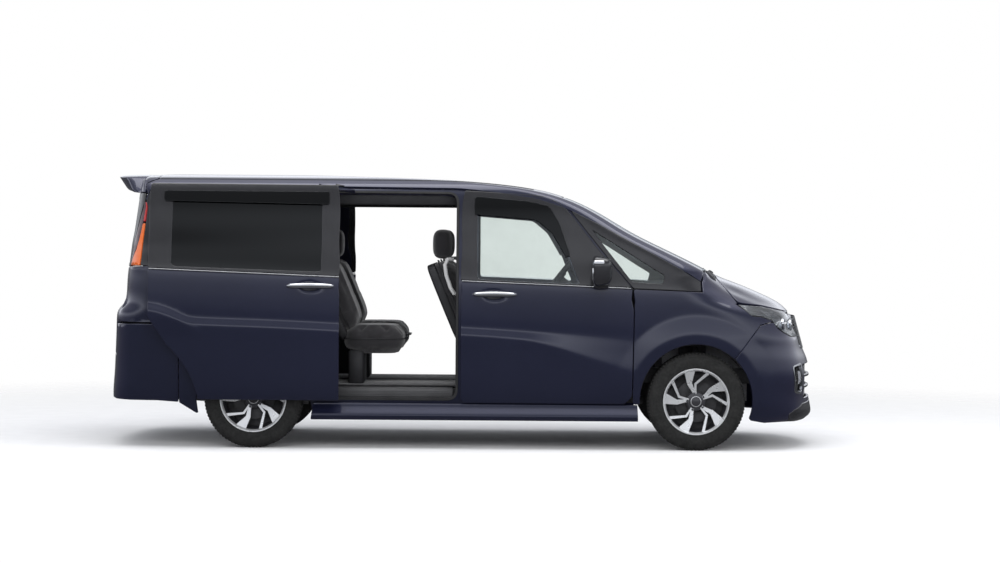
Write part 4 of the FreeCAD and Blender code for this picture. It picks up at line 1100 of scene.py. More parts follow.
# Roof, windscreen, cowl and bonnet, seen from above
header = screen_xy([(y, 1656 + 5 * (1 - (y / 608) ** 2)) for y in np.arange(0, 607, 13.0)])
roof_half = np.vstack([header, [(x, 607) for x in np.arange(header[-1, 0] - 14, -2010, -14)],
                       [(-2012, y) for y in np.arange(600, 0, -14)]])
piece("roof_skin", skin(top, [whole_top(roof_half)], 25, thick=10), "paint",
      replaces=["roof"])
ditch_x = np.arange(-2000, 470, 30.0)
ditch_y = np.full(len(ditch_x), 610.0)
ditch_z = top_height(ditch_x, ditch_y) - 1
both("roof_strip", tube(np.stack([ditch_x, ditch_y, ditch_z], 1), 4.5, 8), "matt")
edge = np.array([(1178, 648), (1250, 640), (1380, 629), (1500, 620), (1600, 612), (1646, 606)])
zs = np.arange(1178, 1646, 12.0)
half = np.vstack([screen_xy([(y, 1176.0) for y in np.arange(0, 640, 13.0)]),
                  screen_xy([(float(np.interp(z, edge[:, 0], edge[:, 1])), z) for z in zs]),
                  screen_xy([(y, 1649.0 + 5 * (1 - (y / 606) ** 2))
                             for y in np.arange(598, 0, -13.0)])])
screen_loop = whole_top(half)
piece("windscreen_glass", skin(top, [screen_loop], 30, thick=5, hem=1.5, sunk=1), "clear",
      replaces=["windscreen"])
border = [inset(screen_loop, 2), inset(screen_loop, 46)]
piece("windscreen_border", skin(top, border, 30, thick=3, hem=1, sunk=8), "matt")
bonnet_edge = side_to_top(trace([(1684, 1117), (1806, 966), (1959, 950), (2123, 914),
                                 (2190, 898), (2238, 886)], 30, 10, closed=False))
mid = screen_xy([(0, 1148)])[0]
back = [(1684 + (mid[0] - 1684) * (1 - (y / bonnet_edge[0, 1]) ** 2), y)
        for y in np.arange(0, bonnet_edge[0, 1] - 6, 12.0)]
bonnet_loop = inset(whole_top(np.vstack([back, bonnet_edge])), 2)
piece("bonnet_skin", skin(top, [bonnet_loop], 14, thick=26), "paint", "bonnet",
      replaces=["bonnet"])
half = np.vstack([screen_xy([(y, 1176.0) for y in np.arange(0, 640, 20.0)]),
                  [(1655, 648), (1690, 560)], [(1694, y) for y in np.arange(540, 0, -20.0)]])
piece("cowl_grille", skin(top, [whole_top(half)], 30, thick=10, sunk=9), "matt")

# Fenders
line = open_side([(1112, 300), (1112, 400), (1121, 880), (1111, 1050), (1563, 1034),
                  (1563, 1100)])
cowl_corner = from_end([(655, 1168), (600, 1164), (520, 1158)])
lamp_side = open_side([(1680, 1121), (1804, 960), (1790, 955), (1848, 913), (1888, 880),
                       (1959, 872), (2028, 848)])
under = open_side([(2032, 843), (1949, 822), (1814, 647), (1776, 604)])
arch_edge = from_side(arch_curve(X_FRONT_AXLE, 47.5, 184, n=70))
fender = np.vstack([line, cowl_corner, lamp_side, under, arch_edge])
both("fender", skin(body, [fender], 12, guides=crease_guides(1118, 1140)), "paint",
     replaces=["fenders"])

# Bumpers
low_edge = np.vstack([front([(0, 176), (560, 176)]), open_side([(1975, 178), (1884, 196)])])
up_edge = open_side([(1777, 600), (1811, 643), (1947, 818), (2036, 839), (2062, 802),
                     (2105, 771), (2166, 740)])
arch_front = from_side(arch_curve(X_FRONT_AXLE, -19, 46, n=36))
inner_edge = front([(470, 737), (432, 737), (428, 655), (0, 655)])
half = np.vstack([low_edge, arch_front, up_edge, inner_edge])
intake = front([(0, 330), (480, 330), (526, 556), (0, 556)], radius=30)
fog = from_end(trace([(556, 568), (664, 550), (646, 372), (540, 358)], 22, 8))
bumper_loops = [whole_front(half), whole_front(intake), fog, fog[::-1] * (-1, 1)]
piece("front_bumper_skin", skin(body, bumper_loops, 14), "paint",
      replaces=["front_bumper"])
low_edge = np.vstack([open_side([(-1849.5, 294), (-1990, 304), (-2165, 306), (-2270, 310)]),
                      rear([(600, 312), (0, 312)])])
up_edge = np.vstack([rear([(0, 597), (709, 597), (711, 805)]),
                     open_side([(-2200, 805), (-1849.5, 805)])])
half = np.vstack([up_edge, open_side([(-1849.5, 790), (-1849.5, 305)]), low_edge])
piece("rear_bumper_skin", skin(body, [whole_rear(half)], 14), "paint",
      replaces=["rear_bumper"])

# Tailgate
half = rear([(0, 603), (703, 603), (705, 1168), (0, 1168)], radius=20)
plate_hole = from_end(trace([(-270, 800), (270, 800), (270, 985), (-270, 985)], 16), rear=True)
piece("tailgate_skin", skin(plain, [whole_rear(half), plate_hole], 16), "paint", "tailgate",
      replaces=["tailgate"])
piece("plate_recess", skin(plain, [grown(plate_hole, 8)], 40, thick=6, sunk=24), "matt",
      "tailgate")
half = rear([(0, 1174), (704, 1174), (704, 1600), (697, 1640), (684, 1660), (0, 1660)],
            radius=12)
window = whole_rear(rear([(0, 1200), (640, 1200), (590, 1622), (0, 1622)], radius=34))
piece("tailgate_surround", skin(plain, [whole_rear(half), window], 16), "black", "tailgate")
piece("tailgate_pane", pane(window, 10, 2), "privacy", "tailgate", replaces=["tailgate_glass"])
half = rear([(0, 1664), (686, 1664), (674, 1688), (646, 1718), (600, 1748), (0, 1760)])
piece("tailgate_header", skin(plain, [whole_rear(half)], 20), "paint", "tailgate")
half = ([(-2018, y) for y in np.arange(0, 606, 15.0)] + [(-2060, 630), (-2110, 622)]
        + [(-2150, y) for y in np.arange(590, 0, -15.0)])
piece("tailgate_top", skin(top, [whole_top(np.array(half))], 20, thick=10), "paint",
      "tailgate")

# Tail lamps: an upper and a lower lens, parted from a darker one behind them
level = np.arange(1184, 1608, 12.0)
at_front = from_side(np.stack([np.interp(level, [1184, 1565, 1611], [-2110, -2073, -2086]),
                               level], 1))
at_rear = from_end(np.stack([np.interp(level, [1184, 1560, 1612], [711, 711, 702]), level], 1),
                   rear=True)
share = np.interp(level, [1184, 1236, 1290, 1347, 1464, 1606],
                  [0.95, 0.80, 0.50, 0.36, 0.34, 0.34])[:, None]
parting = at_front + share * (at_rear - at_front)
low = level < 1465
for name, front_edge, rear_edge, finish, takes_over in (
        ("upper", at_front[~low], parting[~low], "red", ["tail_lamps"]),
        ("lower", at_front[low], parting[low], "orange", ()),
        ("rear", parting, at_rear, "tail_dark", ())):
    lens = np.vstack([front_edge, rear_edge[::-1]])
    both("tail_lens_" + name, skin(plain, [inset(lens, 0.8)], 14, thick=24), finish,
         replaces=takes_over)

# Headlamps
lamp_loop = inset(np.vstack([open_side([(1797, 959), (1957, 945), (2110, 912)]),
                             front([(452, 896), (434, 893), (432, 744), (450, 741)]),
                             open_side([(2166, 747), (2105, 779), (2064, 811), (2031, 853),
                                        (1960, 877), (1889, 885), (1850, 917)])]), 1.5)
both("headlamp_cover", skin(plain, [lamp_loop], 14, thick=3, hem=1.5), "cover",
     replaces=["headlamps"])
both("headlamp_housing", skin(plain, [shrunk(lamp_loop, 3)], 20, thick=30, sunk=46),
     "lamp_shell")
both("headlamp_edge", rim_strip(plain, shrunk(lamp_loop, 1),
                                [(0, 4), (5, 4), (5, 60), (0, 60)]), "black")

# Spoiler: one section moved across the roof's end, swept forward at its ends
spoiler_line = [(-2050, 1789), (-2125, 1790), (-2200, 1789), (-2275, 1787), (-2335, 1783),
                (-2349, 1779), (-2352, 1774), (-2347, 1766), (-2300, 1706), (-2286, 1692),
                (-2270, 1684), (-2223, 1680), (-2180, 1700), (-2110, 1740), (-2060, 1762)]
SPOILER_HALF, SPOILER_MID_Z, STATIONS = 596, 1745, 41
rows = []
for y in np.sin(np.linspace(-math.pi / 2, math.pi / 2, STATIONS)) * SPOILER_HALF:
    share = min(1.0, abs(y) / SPOILER_HALF)
    drop = float(top_height(-2080.0, 0.0) - top_height(-2080.0, y)) * 0.75
    end = max(0.0, share - 0.93) / 0.07
    for x, z in spoiler_line:
        back = min(1.0, max(0.0, (-2050 - x) / 300))
        rise = min(1.0, max(0.0, (z - 1680) / 100))
        rows.append((x + 8 * back + 128 * back * share ** 2.6 + 30 * end * end * back,
                     y * (1 - 0.15 * rise),
                     SPOILER_MID_Z + (z - SPOILER_MID_Z) * (1 - 0.08 * end * end) - drop))
k = len(spoiler_line)
quads = rings(STATIONS, k, False)
caps = [tuple(range(k))[::-1], tuple(range((STATIONS - 1) * k, STATIONS * k))]
piece("spoiler_wing", (np.array(rows), quads + caps), "paint", "tailgate", 40,
      replaces=["spoiler"])


def lathe(profile, n=96):
    """A closed (r, y) profile turned about the Y axis."""
    k = len(profile)
    verts = [(r * math.cos(t), y, r * math.sin(t))
             for t in (2 * math.pi * i / n for i in range(n)) for r, y in profile]
    faces = [(i * k + j, i * k + (j + 1) % k, (i + 1) % n * k + (j + 1) % k,
              (i + 1) % n * k + j) for i in range(n) for j in range(k)]
    outward = area(np.array(profile, float)) > 0
    return np.array(verts), faces if outward else [f[::-1] for f in faces]


def blob(x0, x1, y0, y1, z0, z1, square=0.35, n=40, m=24, flat=None):
    """A rounded block: a superellipsoid, which a small square value makes boxier.

    flat reshapes it while its half sizes are still 1."""
    u = np.linspace(-math.pi, math.pi, n, endpoint=False)
    v = np.linspace(-math.pi / 2, math.pi / 2, m + 1)[1:-1]
    vv, uu = np.meshgrid(v, u, indexing="ij")

    def power(t):
        return np.sign(t) * np.abs(t) ** square
    pts = np.stack([power(np.cos(vv)) * power(np.cos(uu)),
                    power(np.cos(vv)) * power(np.sin(uu)), power(np.sin(vv))], 2)
    pts = np.vstack([pts.reshape(-1, 3), [(0, 0, -1), (0, 0, 1)]])
    faces = [(i * n + j, i * n + (j + 1) % n, (i + 1) * n + (j + 1) % n, (i + 1) * n + j)
             for i in range(m - 2) for j in range(n)]
    last = len(pts)
    for j in range(n):
        faces.append((last - 2, (j + 1) % n, j))
        faces.append((last - 1, (m - 2) * n + j, (m - 2) * n + (j + 1) % n))
    if flat:
        pts = flat(pts)
    half = np.array([x1 - x0, y1 - y0, z1 - z0]) / 2
    mid = np.array([x1 + x0, y1 + y0, z1 + z0]) / 2
    return pts * half + mid, faces


def slab(a, b, front_y, depth, soft=2.0):
    """A bar in the wheel's plane between two edges of (r, degrees), with bevelled sides."""
    def dense(edge, parts=7):
        out = []
        for start, end in zip(edge, edge[1:]):
            p, q = polar(*start), polar(*end)
            out += [(p[0] + (q[0] - p[0]) * k / parts, p[1] + (q[1] - p[1]) * k / parts)
                    for k in range(parts)]
        return np.array(out + [polar(*edge[-1])])
    ea, eb = dense(a), dense(b)
    w = unit(eb - ea)

    def row(edge, across, down):
        p = edge + w * across
        return np.stack([p[:, 0], front_y(np.hypot(p[:, 0], p[:, 1])) - down, p[:, 1]], 1)
    rows = [row(ea, 0, depth), row(ea, 0, soft), row(ea, soft, 0), row(eb, -soft, 0),
            row(eb, 0, soft), row(eb, 0, depth)]
    k, m = len(rows), len(ea)
    faces = [(j * m + i, j * m + i + 1, (j + 1) % k * m + i + 1, (j + 1) % k * m + i)
             for j in range(k) for i in range(m - 1)]
    faces += [tuple(j * m for j in range(k)), tuple(j * m + m - 1 for j in range(k))[::-1]]
    return np.vstack(rows), faces


def turned_about(shape, degrees):
    """The shape turned about the Y axis."""
    c, s = math.cos(math.radians(degrees)), math.sin(math.radians(degrees))
    x, y, z = shape[0].T
    return np.stack([c * x - s * z, y, s * x + c * z], 1), shape[1]


def spread(name, shape, finish, count, columns, pitch, start, turn=0.0, bow=0.0):
    """Copies of a shape by Geometry Nodes, as one mesh: in a grid, or turned about the Y axis.

    pitch and start are (y, z) in millimetres. A row's copies run along Y."""
    source = new_object(name + "_unit", shape)
    group = bpy.data.node_groups.new(name + "_array", "GeometryNodeTree")
    face = group.interface
    add = group.nodes.new
    link = group.links.new
    face.new_socket("Unit", in_out="INPUT", socket_type="NodeSocketGeometry")
    settings = {}
    for label, kind, value in (
            ("Count", "Int", count), ("Columns", "Int", columns),
            ("Pitch across", "Float", pitch[0] * MM), ("Pitch up", "Float", pitch[1] * MM),
            ("Turn", "Float", turn), ("Bow", "Float", bow / MM)):
        socket = face.new_socket(label, in_out="INPUT", socket_type="NodeSocket" + kind)
        settings[socket.identifier] = value
    face.new_socket("Copies", in_out="OUTPUT", socket_type="NodeSocketGeometry")
    given, result = add("NodeGroupInput").outputs, add("NodeGroupOutput")

    def fill(place, value):
        if isinstance(value, bpy.types.NodeSocket):
            link(value, place)
        else:
            place.default_value = value

    def math_node(kind, a, b=0.0):
        node = add("ShaderNodeMath")
        node.operation = kind
        fill(node.inputs[0], a)
        fill(node.inputs[1], b)
        return node.outputs[0]

    def vector(x=0.0, y=0.0, z=0.0):
        node = add("ShaderNodeCombineXYZ")
        for place, value in zip(node.inputs, (x, y, z)):
            fill(place, value)
        return node.outputs[0]

    def geometry(kind, **inputs):
        node = add("GeometryNode" + kind)
        for key, value in inputs.items():
            fill(node.inputs[key], value)
        return node.outputs[0]
    index = geometry("InputIndex")
    row = math_node("FLOOR", math_node("DIVIDE", math_node("ADD", index, 0.5),
                                       given["Columns"]))
    col = math_node("SUBTRACT", index, math_node("MULTIPLY", row, given["Columns"]))
    points = geometry("Points", Count=given["Count"],
                      Position=vector(y=math_node("MULTIPLY", col, given["Pitch across"]),
                                      z=math_node("MULTIPLY", row, given["Pitch up"])))
    copies = geometry("InstanceOnPoints", Points=points, Instance=given["Unit"],
                      Rotation=vector(y=math_node("MULTIPLY", index, given["Turn"])))
    split = add("ShaderNodeSeparateXYZ")
    link(geometry("InputPosition"), split.inputs[0])
    y = math_node("ADD", split.outputs[1], start[0] * MM)
    bend = math_node("MULTIPLY", math_node("MULTIPLY", y, y), given["Bow"])
    bent = geometry("SetPosition", Geometry=geometry("RealizeInstances", Geometry=copies),
                    Offset=vector(bend, start[0] * MM, start[1] * MM))
    coated = geometry("SetMaterial", Geometry=bent, Material=FINISH[finish][0])
    link(coated, result.inputs[0])
    modifier = source.modifiers.new("copies", "NODES")
    modifier.node_group = group
    for key, value in settings.items():
        modifier[key] = value
    source.update_tag()
    bpy.context.view_layer.update()
    done = with_modifiers(source)
    bpy.data.objects.remove(source)
    return points_of(done), faces_of(done)


# Wheels: built about the Y axis with the outside at +Y, then set at each corner
GROOVES = (-54, -19, 19, 54)
LUGS, RIBS = 84, 90
half_tread = [(207, 86), (214, 95), (224, 100), (240, 102.5), (262, 103), (283, 100),
              (298, 94), (306, 88), (312, 80)]

tread_line = [(316, 72), (317.5, 60)]
for g in GROOVES[::-1]:
    tread_line += [(318.6, g + 5), (311, g + 3.5), (311, g - 3.5), (318.6, g - 5)]
tread_line += [(317.5, -60), (316, -72)]
tyre_profile = half_tread + tread_line + [(r, -y) for r, y in half_tread[::-1]] + [
    (204, -80), (204, 80)]
tyre = lathe(tyre_profile, 120)
lug = joined(*[rib_box(-7.5, 7.5, y, y + 24, 306, 319, 2.5) for y in (60, -84)])
rib = joined(*[rib_box(-7.5, 7.5, y, y + 24, 309, 320, 1.5) for y in (25, -49)],
             rib_box(-8.5, 8.5, -14, 14, 309, 320, 1.5))
lugs = spread("tyre_shoulder", lug, "tyre", LUGS, 1, (0, 0), (0, 0), turn=2 * math.pi / LUGS)
ribs = spread("tyre_ribs", rib, "tyre", RIBS, 1, (0, 0), (0, 0), turn=2 * math.pi / RIBS)
side_rings = joined(*[lathe([(r - w, y - 2), (r - w, y + 1.2), (r + w, y + 1.2),
                             (r + w, y - 2)], 96) for r, w, y in ((226, 1.4, 100.2),
                                                                  (292, 1.2, 97))])
tyre_all = joined(tyre, lugs, ribs, side_rings)

barrel = lathe([(217, 98), (217, 92), (206, 87), (203, 60), (192, 40), (192, -62), (203, -76),
                (206, -88), (217, -93), (217, -99), (211, -99), (200, -84), (186, -60),
                (186, 38), (197, 62), (201, 84), (208, 96.5), (213, 99)], 96)
lip = lathe([(217.3, 98.6), (216, 99.6), (209, 99.2), (201.5, 88), (199.5, 82), (203, 82),
             (206, 90), (211, 97)], 120)


def face_y(r):
    """How far out the wheel's face stands at a radius."""
    return 62 + 20 * np.clip((r - 30) / 170, 0, 1) ** 1.4


blade_a = [(36, 86), (70, 95), (124, 103), (202, 92.5)]
blade_b = [(36, 114), (70, 113), (124, 117.5), (202, 112.5)]
kinked_a = [(36, 83), (112, 88.5), (202, 64.5)]
kinked_b = [(40, 99), (118, 96.5), (202, 71)]
WHEEL_SPOKES = 5
wheel_faces, wheel_bodies = [], []
for k in range(WHEEL_SPOKES):
    for a, b, wide in ((blade_a, blade_b, 3.2), (kinked_a, kinked_b, 2.4)):
        under_a, under_b = ([(r, t + sign * wide * 60 / max(r, 50) * 0.6) for r, t in edge]
                            for edge, sign in ((a, -1), (b, 1)))
        wheel_faces.append(turned_about(slab(a, b, face_y, 4.0, 1.6), 72 * k))
        wheel_bodies.append(turned_about(slab(under_a, under_b, lambda r: face_y(r) - 3.2,
                                              30.0, 7.0), 72 * k))
hub_plate = lathe([(0.01, 64), (46, 64), (60, 60), (64, 50), (64, 20), (0.01, 20)], 60)
nuts, wells = [], []
for k in range(WHEEL_SPOKES):
    x, z = polar(57, 72 * k + 32)
    nuts.append(moved(lathe([(0.01, 8), (6, 8), (9.5, 4), (9.5, -18), (0.01, -18)], 6), x, 62, z))
    wells.append(moved(lathe([(9.8, 2.5), (14.5, 2.5), (14.5, -16), (9.8, -16)], 24), x, 58, z))
cap = lathe([(0.01, 73), (20, 72.4), (28, 70), (31, 66), (31, 50), (0.01, 50)], 60)
cap_ring = lathe([(31, 67), (34.5, 66), (34.5, 52), (31, 52)], 60)
valve = turned_about(moved(lathe([(0.01, 14), (3, 14), (3.6, 0), (3.6, -10), (0.01, -10)], 14),
                           192, 74, 0), 140)
disc = joined(lathe([(62, -4), (138, -4), (138, 18), (62, 18)], 72),
              lathe([(60, -20), (184, -20), (184, -24), (60, -24)], 72))
bell = lathe([(0.01, 30), (66, 30), (74, 24), (74, -6), (0.01, -6)], 60)
for end, axle in (("front", X_FRONT_AXLE), ("rear", X_REAR_AXLE)):
    for name, shape, finish, smooth, takes in (
            ("tyre_{}_%s_tread", tyre_all, "tyre", 35, ["tyre_{}_%s"]),
            ("wheel_faces_{}", joined(lip, cap_ring, *wheel_faces), "alloy", 30,
             ["rim_{}_%s"]),
            ("wheel_pockets_{}", joined(barrel, hub_plate, cap, *wheel_bodies, *wells),
             "pocket", 35, ()),
            ("wheel_nuts_{}", joined(valve, *nuts), "chrome", 30, ()),
            ("brake_disc_{}", joined(disc, bell), "steel", 30, ())):
        both(name.format(end), moved(shape, axle, WHEEL_Y, WHEEL_Z), finish,
             "wheel_" + end + "_%s", smooth, [node.format(end) for node in takes])


# Mirrors
def mirror_form(p):
    x, y, z = p.T
    return np.stack([np.where(x > 0, x * (1 - 0.25 * np.abs(y) ** 2), x * 0.75), y,
                     z * (1 - 0.10 * x) - 0.06 * y], 1)


for name, form, finish, takes in (
        ("shell", blob(822, 966, 872, 1040, 1082, 1262, 0.42, 48, 30, mirror_form), "black",
         ["mirror_%s"]),
        ("band", blob(836, 925, 876, 1043, 1192, 1246, 0.5, 40, 16), "chrome", ()),
        ("glass", blob(836, 846, 894, 1020, 1110, 1190, 0.3, 40, 16), "reflector", ()),
        ("foot", blob(850, 950, 808, 905, 1052, 1104, 0.5, 30, 14), "black", ())):
    both("mirror_" + name, form, finish, "front_door_%s", replaces=takes)


# Handles, belt mouldings, visors and seals
def handle(x0, x1, z, y_out):
    """A bar whose ends run into the door."""
    t = np.linspace(0, 1, 26)
    x = x0 + (x1 - x0) * t
    out = np.sin(t * math.pi) ** 0.38
    door_y = body(from_side(np.stack([x, np.full(len(t), z)], 1)))[:, 1]
    path = np.stack([x, door_y - 6 + out * y_out, z + 3 * np.sin(t * math.pi)], 1)
    return tube(path, 9.0 + 9.0 * np.sin((0.04 + 0.92 * t) * math.pi) ** 0.4, 16)


both("front_door_pull", handle(74, 344, 1011, 30), "chrome", "front_door_%s",
     replaces=["door_handle_%s"])
both("sliding_door_pull", slid(handle(-382, -94, 1040, 30)), "chrome",
     replaces=["sliding_door_handles"])


def belt_strip(x0, x1):
    """The bright moulding along the belt."""
    loop = side([(x0, belt(x0) - 4), (x1, belt(x1) - 4), (x1, belt(x1) + 2), (x0, belt(x0) + 2)],
                0, 14)
    return skin(plain, [loop], 40, thick=8, hem=1.5, sunk=-2.5)


def visor(points, radius):
    """The smoked strip that stands out over a side window."""
    return skin(plain, [side(points, radius)], 30, thick=3, hem=1.5, sunk=-13)


both("belt_strip_front", belt_strip(-12, 1102), "chrome", "front_door_%s")
both("belt_strip_slide", slid(belt_strip(-1290, -48)), "chrome")
both("front_visor", visor([(70, 1532), (480, 1500), (575, 1420), (672, 1252), (704, 1264),
                           (628, 1475), (560, 1588), (425, 1618), (70, 1648)], 20), "smoke",
     "front_door_%s")
both("slide_visor", slid(visor([(-118, 1566), (-1196, 1584), (-1196, 1652), (-118, 1650)], 18)),
     "smoke")
seal_loop = side([(SLIDE_X + 9, 322), (SLIDE_X + 9, 1676), (-1268, 1682), (-1268, 850),
                  (-1150, 640), (-1000, 440), (-950, 322)], 70)
both("doorway_seal", rim_strip(plain, seal_loop, [(-7, 4), (7, 4), (9, 12), (0, 20), (-9, 12)],
                               4), "rubber")
both("front_doorway_seal", rim_strip(plain, inset(side(door_whole, 60), 22),
                                     [(-6, 8), (6, 8), (7, 15), (0, 20), (-7, 15)], 3),
     "rubber")


# Grille, intake and lamps in the nose
def nose_band(z0, z1, half, half_top=None):
    """The outline of a band across the nose between two heights."""
    return [whole_front(np.vstack([front([(0, z0), (half, z0)]),
                                   front([(half_top or half, z1), (0, z1)])]))]


lip_half = np.vstack([front([(0, 178), (560, 178)]), open_side([(2140, 182), (2150, 236)]),
                      front([(640, 262), (520, 296), (0, 306)])])
piece("bumper_lip", skin(body, [whole_front(lip_half)], 16, thick=14, sunk=-3), "black")
for name, z0, z1, half, takes in (("grille_bar_1", 852, 879, 428, ["grille"]),
                                  ("grille_bar_2", 790, 806, 430, ()),
                                  ("grille_bar_3", 736, 752, 430, ()),
                                  ("grille_bar_4", 662, 682, 428, ())):
    piece(name, skin(plain, nose_band(z0, z1, half), 30, thick=26, hem=4, sunk=-2), "chrome",
          replaces=takes)
piece("grille_back", skin(plain, nose_band(650, 884, 436), 60, thick=6, sunk=44), "matt")
cell = joined(*[tube([(0, -9, 0), (0, 0, z), (0, 9, 0)], 1.6, 4) for z in (5.5, -5.5)])
upper_mesh = spread("grille_mesh", cell, "black", 47 * 17, 47, (18, 12.5), (-414, 662),
                    bow=-0.00030)
MESH_Z, MESH_LEAN = 760, -0.28
mesh_x = float(np.interp(MESH_Z, [650, 870], [2335, 2272])) - 26
upper_mesh[0][:, 0] += mesh_x + (upper_mesh[0][:, 2] - MESH_Z) * MESH_LEAN
piece("grille_mesh", upper_mesh, "black")
lower_mesh = spread("intake_mesh", cell, "black", 59 * 18, 59, (19, 12.5), (-551, 338),
                    bow=-0.00036)
lower_mesh[0][:, 0] += 2322
piece("intake_mesh", lower_mesh, "black")
piece("intake_back", skin(plain, nose_band(322, 566, 530, 536), 60, thick=6, sunk=60), "matt")
for z0, z1 in ((392, 406), (470, 484)):
    piece("intake_bar_%d" % z0, skin(plain, nose_band(z0, z1, 512, 514), 30, thick=18, hem=4,
                                     sunk=10), "black")
both("fog_bezel", rim_strip(body, fog, [(-9, -3), (2, -3), (2, 6), (-6, 26), (-9, 26)]),
     "chrome")
both("fog_back", skin(body, [grown(fog, 6)], 40, thick=6, sunk=38), "matt")


def facing(p, direction, shape):
    """A shape built along +X, turned to look along a direction and moved to p."""
    d = np.array(direction, float)
    d /= np.linalg.norm(d)
    u = np.cross((0, 0, 1.0), d)
    u /= np.linalg.norm(u)
    w = np.cross(d, u)
    return shape[0] @ np.array([d, u, w]) + np.array(p, float), shape[1]


def turned_lathe(profile, n=48):
    """A lathe about +X from (r, x) pairs."""
    v, f = lathe(profile, n)
    return np.stack([v[:, 1], v[:, 0], v[:, 2]], 1), [tuple(k)[::-1] for k in f]


bowl = turned_lathe([(46, 0), (48, 2), (46, 4), (40, 2), (30, -16), (0.01, -20), (0.01, -26),
                     (34, -22), (46, -6)])
eye_ring = turned_lathe([(34, 4), (38, 8), (42, 4), (42, -12), (34, -12)])
eye_dome = turned_lathe([(0.01, 12), (14, 10), (25, 5), (32, -2), (33, -8), (0.01, -8)])
LAMP_SIZE = 0.92
for name, p in (("outer", (2112, 648, 826)), ("inner", (2172, 545, 818))):
    for part, (v, f), share, finish in (("bowl", bowl, 1, "reflector"),
                                        ("ring", eye_ring, 1, "chrome"),
                                        ("eye", eye_dome, 0.9, "white_lens")):
        both("lamp_" + part + "_" + name,
             facing(p, (0.97, 0.16, 0.02), (v * LAMP_SIZE * share, f)), finish)
inner_strip = np.vstack([open_side([(1850, 934), (1960, 918), (2090, 888)]),
                         open_side([(2096, 872), (1962, 900), (1868, 912)])])
both("lamp_strip", skin(plain, [inner_strip], 14, thick=10, hem=2, sunk=22), "reflector")
amber = side([(1905, 876), (1995, 862), (2026, 826), (2050, 806), (2080, 786), (2088, 800),
              (2052, 838), (2020, 868), (1975, 884)], 4)
both("lamp_amber", skin(plain, [amber], 14, thick=10, hem=2, sunk=20), "white_lens")
fog_lamp = turned_lathe([(0.01, 6), (24, 4), (34, -1), (38, -6), (38, -24), (0.01, -24)])
p = body(from_end([(604, 455)]))[0]
both("fog_lamp", facing(p - (30, 6, 0), (0.93, 0.37, 0), fog_lamp), "white_lens")


# Cabin: lining, seats and grips
lining_half = np.vstack([screen_xy([(y, 1646.0) for y in np.arange(0, 560, 20.0)]),
                         [(x, 612) for x in np.arange(640, -1990, -24)],
                         [(-1990, y) for y in np.arange(600, 0, -24)]])
piece("roof_lining", skin(top, [whole_top(lining_half)], 40, thick=8, sunk=40), "lining")

SEAT_LEAN = 22.5
CLOTH_FRAMES = 16
FINE_VOXEL, WIDE_VOXEL = 0.011, 0.016


def cushion_form(p):
    """Bolsters along the sides of a seat's cushion."""
    x, y, z = p.T
    return np.stack([x * (1 - 0.04 * np.abs(y) ** 4), y,
                     z + np.where(z > 0, 0.22 * np.abs(y) ** 3 - 0.10, 0)], 1)


def back_form(p):
    """Bolsters along the sides of a seat's back, which narrows towards its top."""
    x, y, z = p.T
    return np.stack([x + np.where(x > 0, 0.36 * np.abs(y) ** 3 - 0.16, 0),
                     y * (1 - 0.10 * np.clip(z, 0, 1) ** 2), z], 1)


def soften(shape, name, lift=26.0, voxel=0.011):
    ob = new_object(name, shape)
    bpy.context.view_layer.objects.active = ob
    remesh = ob.modifiers.new("even", "REMESH")
    remesh.mode = "VOXEL"
    remesh.voxel_size = voxel
    bpy.context.view_layer.update()
    even = with_modifiers(ob)
    ob.modifiers.clear()
    ob.data = even
    start = points_of(even)
    cloth = ob.modifiers.new("cover", "CLOTH")
    cloth.settings.use_pressure = True
    cloth.settings.uniform_pressure_force = 4.0
    cloth.settings.effector_weights.gravity = 0.0
    cloth.settings.quality = 4
    cloth.point_cache.frame_start = 1
    cloth.point_cache.frame_end = CLOTH_FRAMES
    for f in range(1, CLOTH_FRAMES + 1):
        bpy.context.scene.frame_set(f)
    done = with_modifiers(ob)
    bpy.context.scene.frame_set(1)
    move = points_of(done) - start
    far = np.linalg.norm(move, axis=1)
    move *= np.minimum(1, lift / np.maximum(far, 1e-6))[:, None]
    bpy.data.objects.remove(ob)
    return start + move, faces_of(done)


def ring_on(shape, axis, at):
    """The outline of a rounded block where it crosses a plane, for its piping."""
    u, v = [k for k in range(3) if k != axis]
    near = shape[0][np.abs(shape[0][:, axis] - at) < 26]
    mid = near.mean(0)
    angle = np.arctan2(near[:, v] - mid[v], near[:, u] - mid[u])
    out = []
    for t in np.linspace(-math.pi, math.pi, 60, endpoint=False):
        apart = np.abs((angle - t + math.pi) % (2 * math.pi) - math.pi)
        pick = near[apart < 0.16]
        if not len(pick):
            continue
        reach = np.hypot(pick[:, u] - mid[u], pick[:, v] - mid[v]).max()
        p = np.zeros(3)
        p[axis] = at
        p[u], p[v] = mid[u] + reach * math.cos(t), mid[v] + reach * math.sin(t)
        out.append(p)
    return tube(np.array(out), 3.2, 8, closed=True)


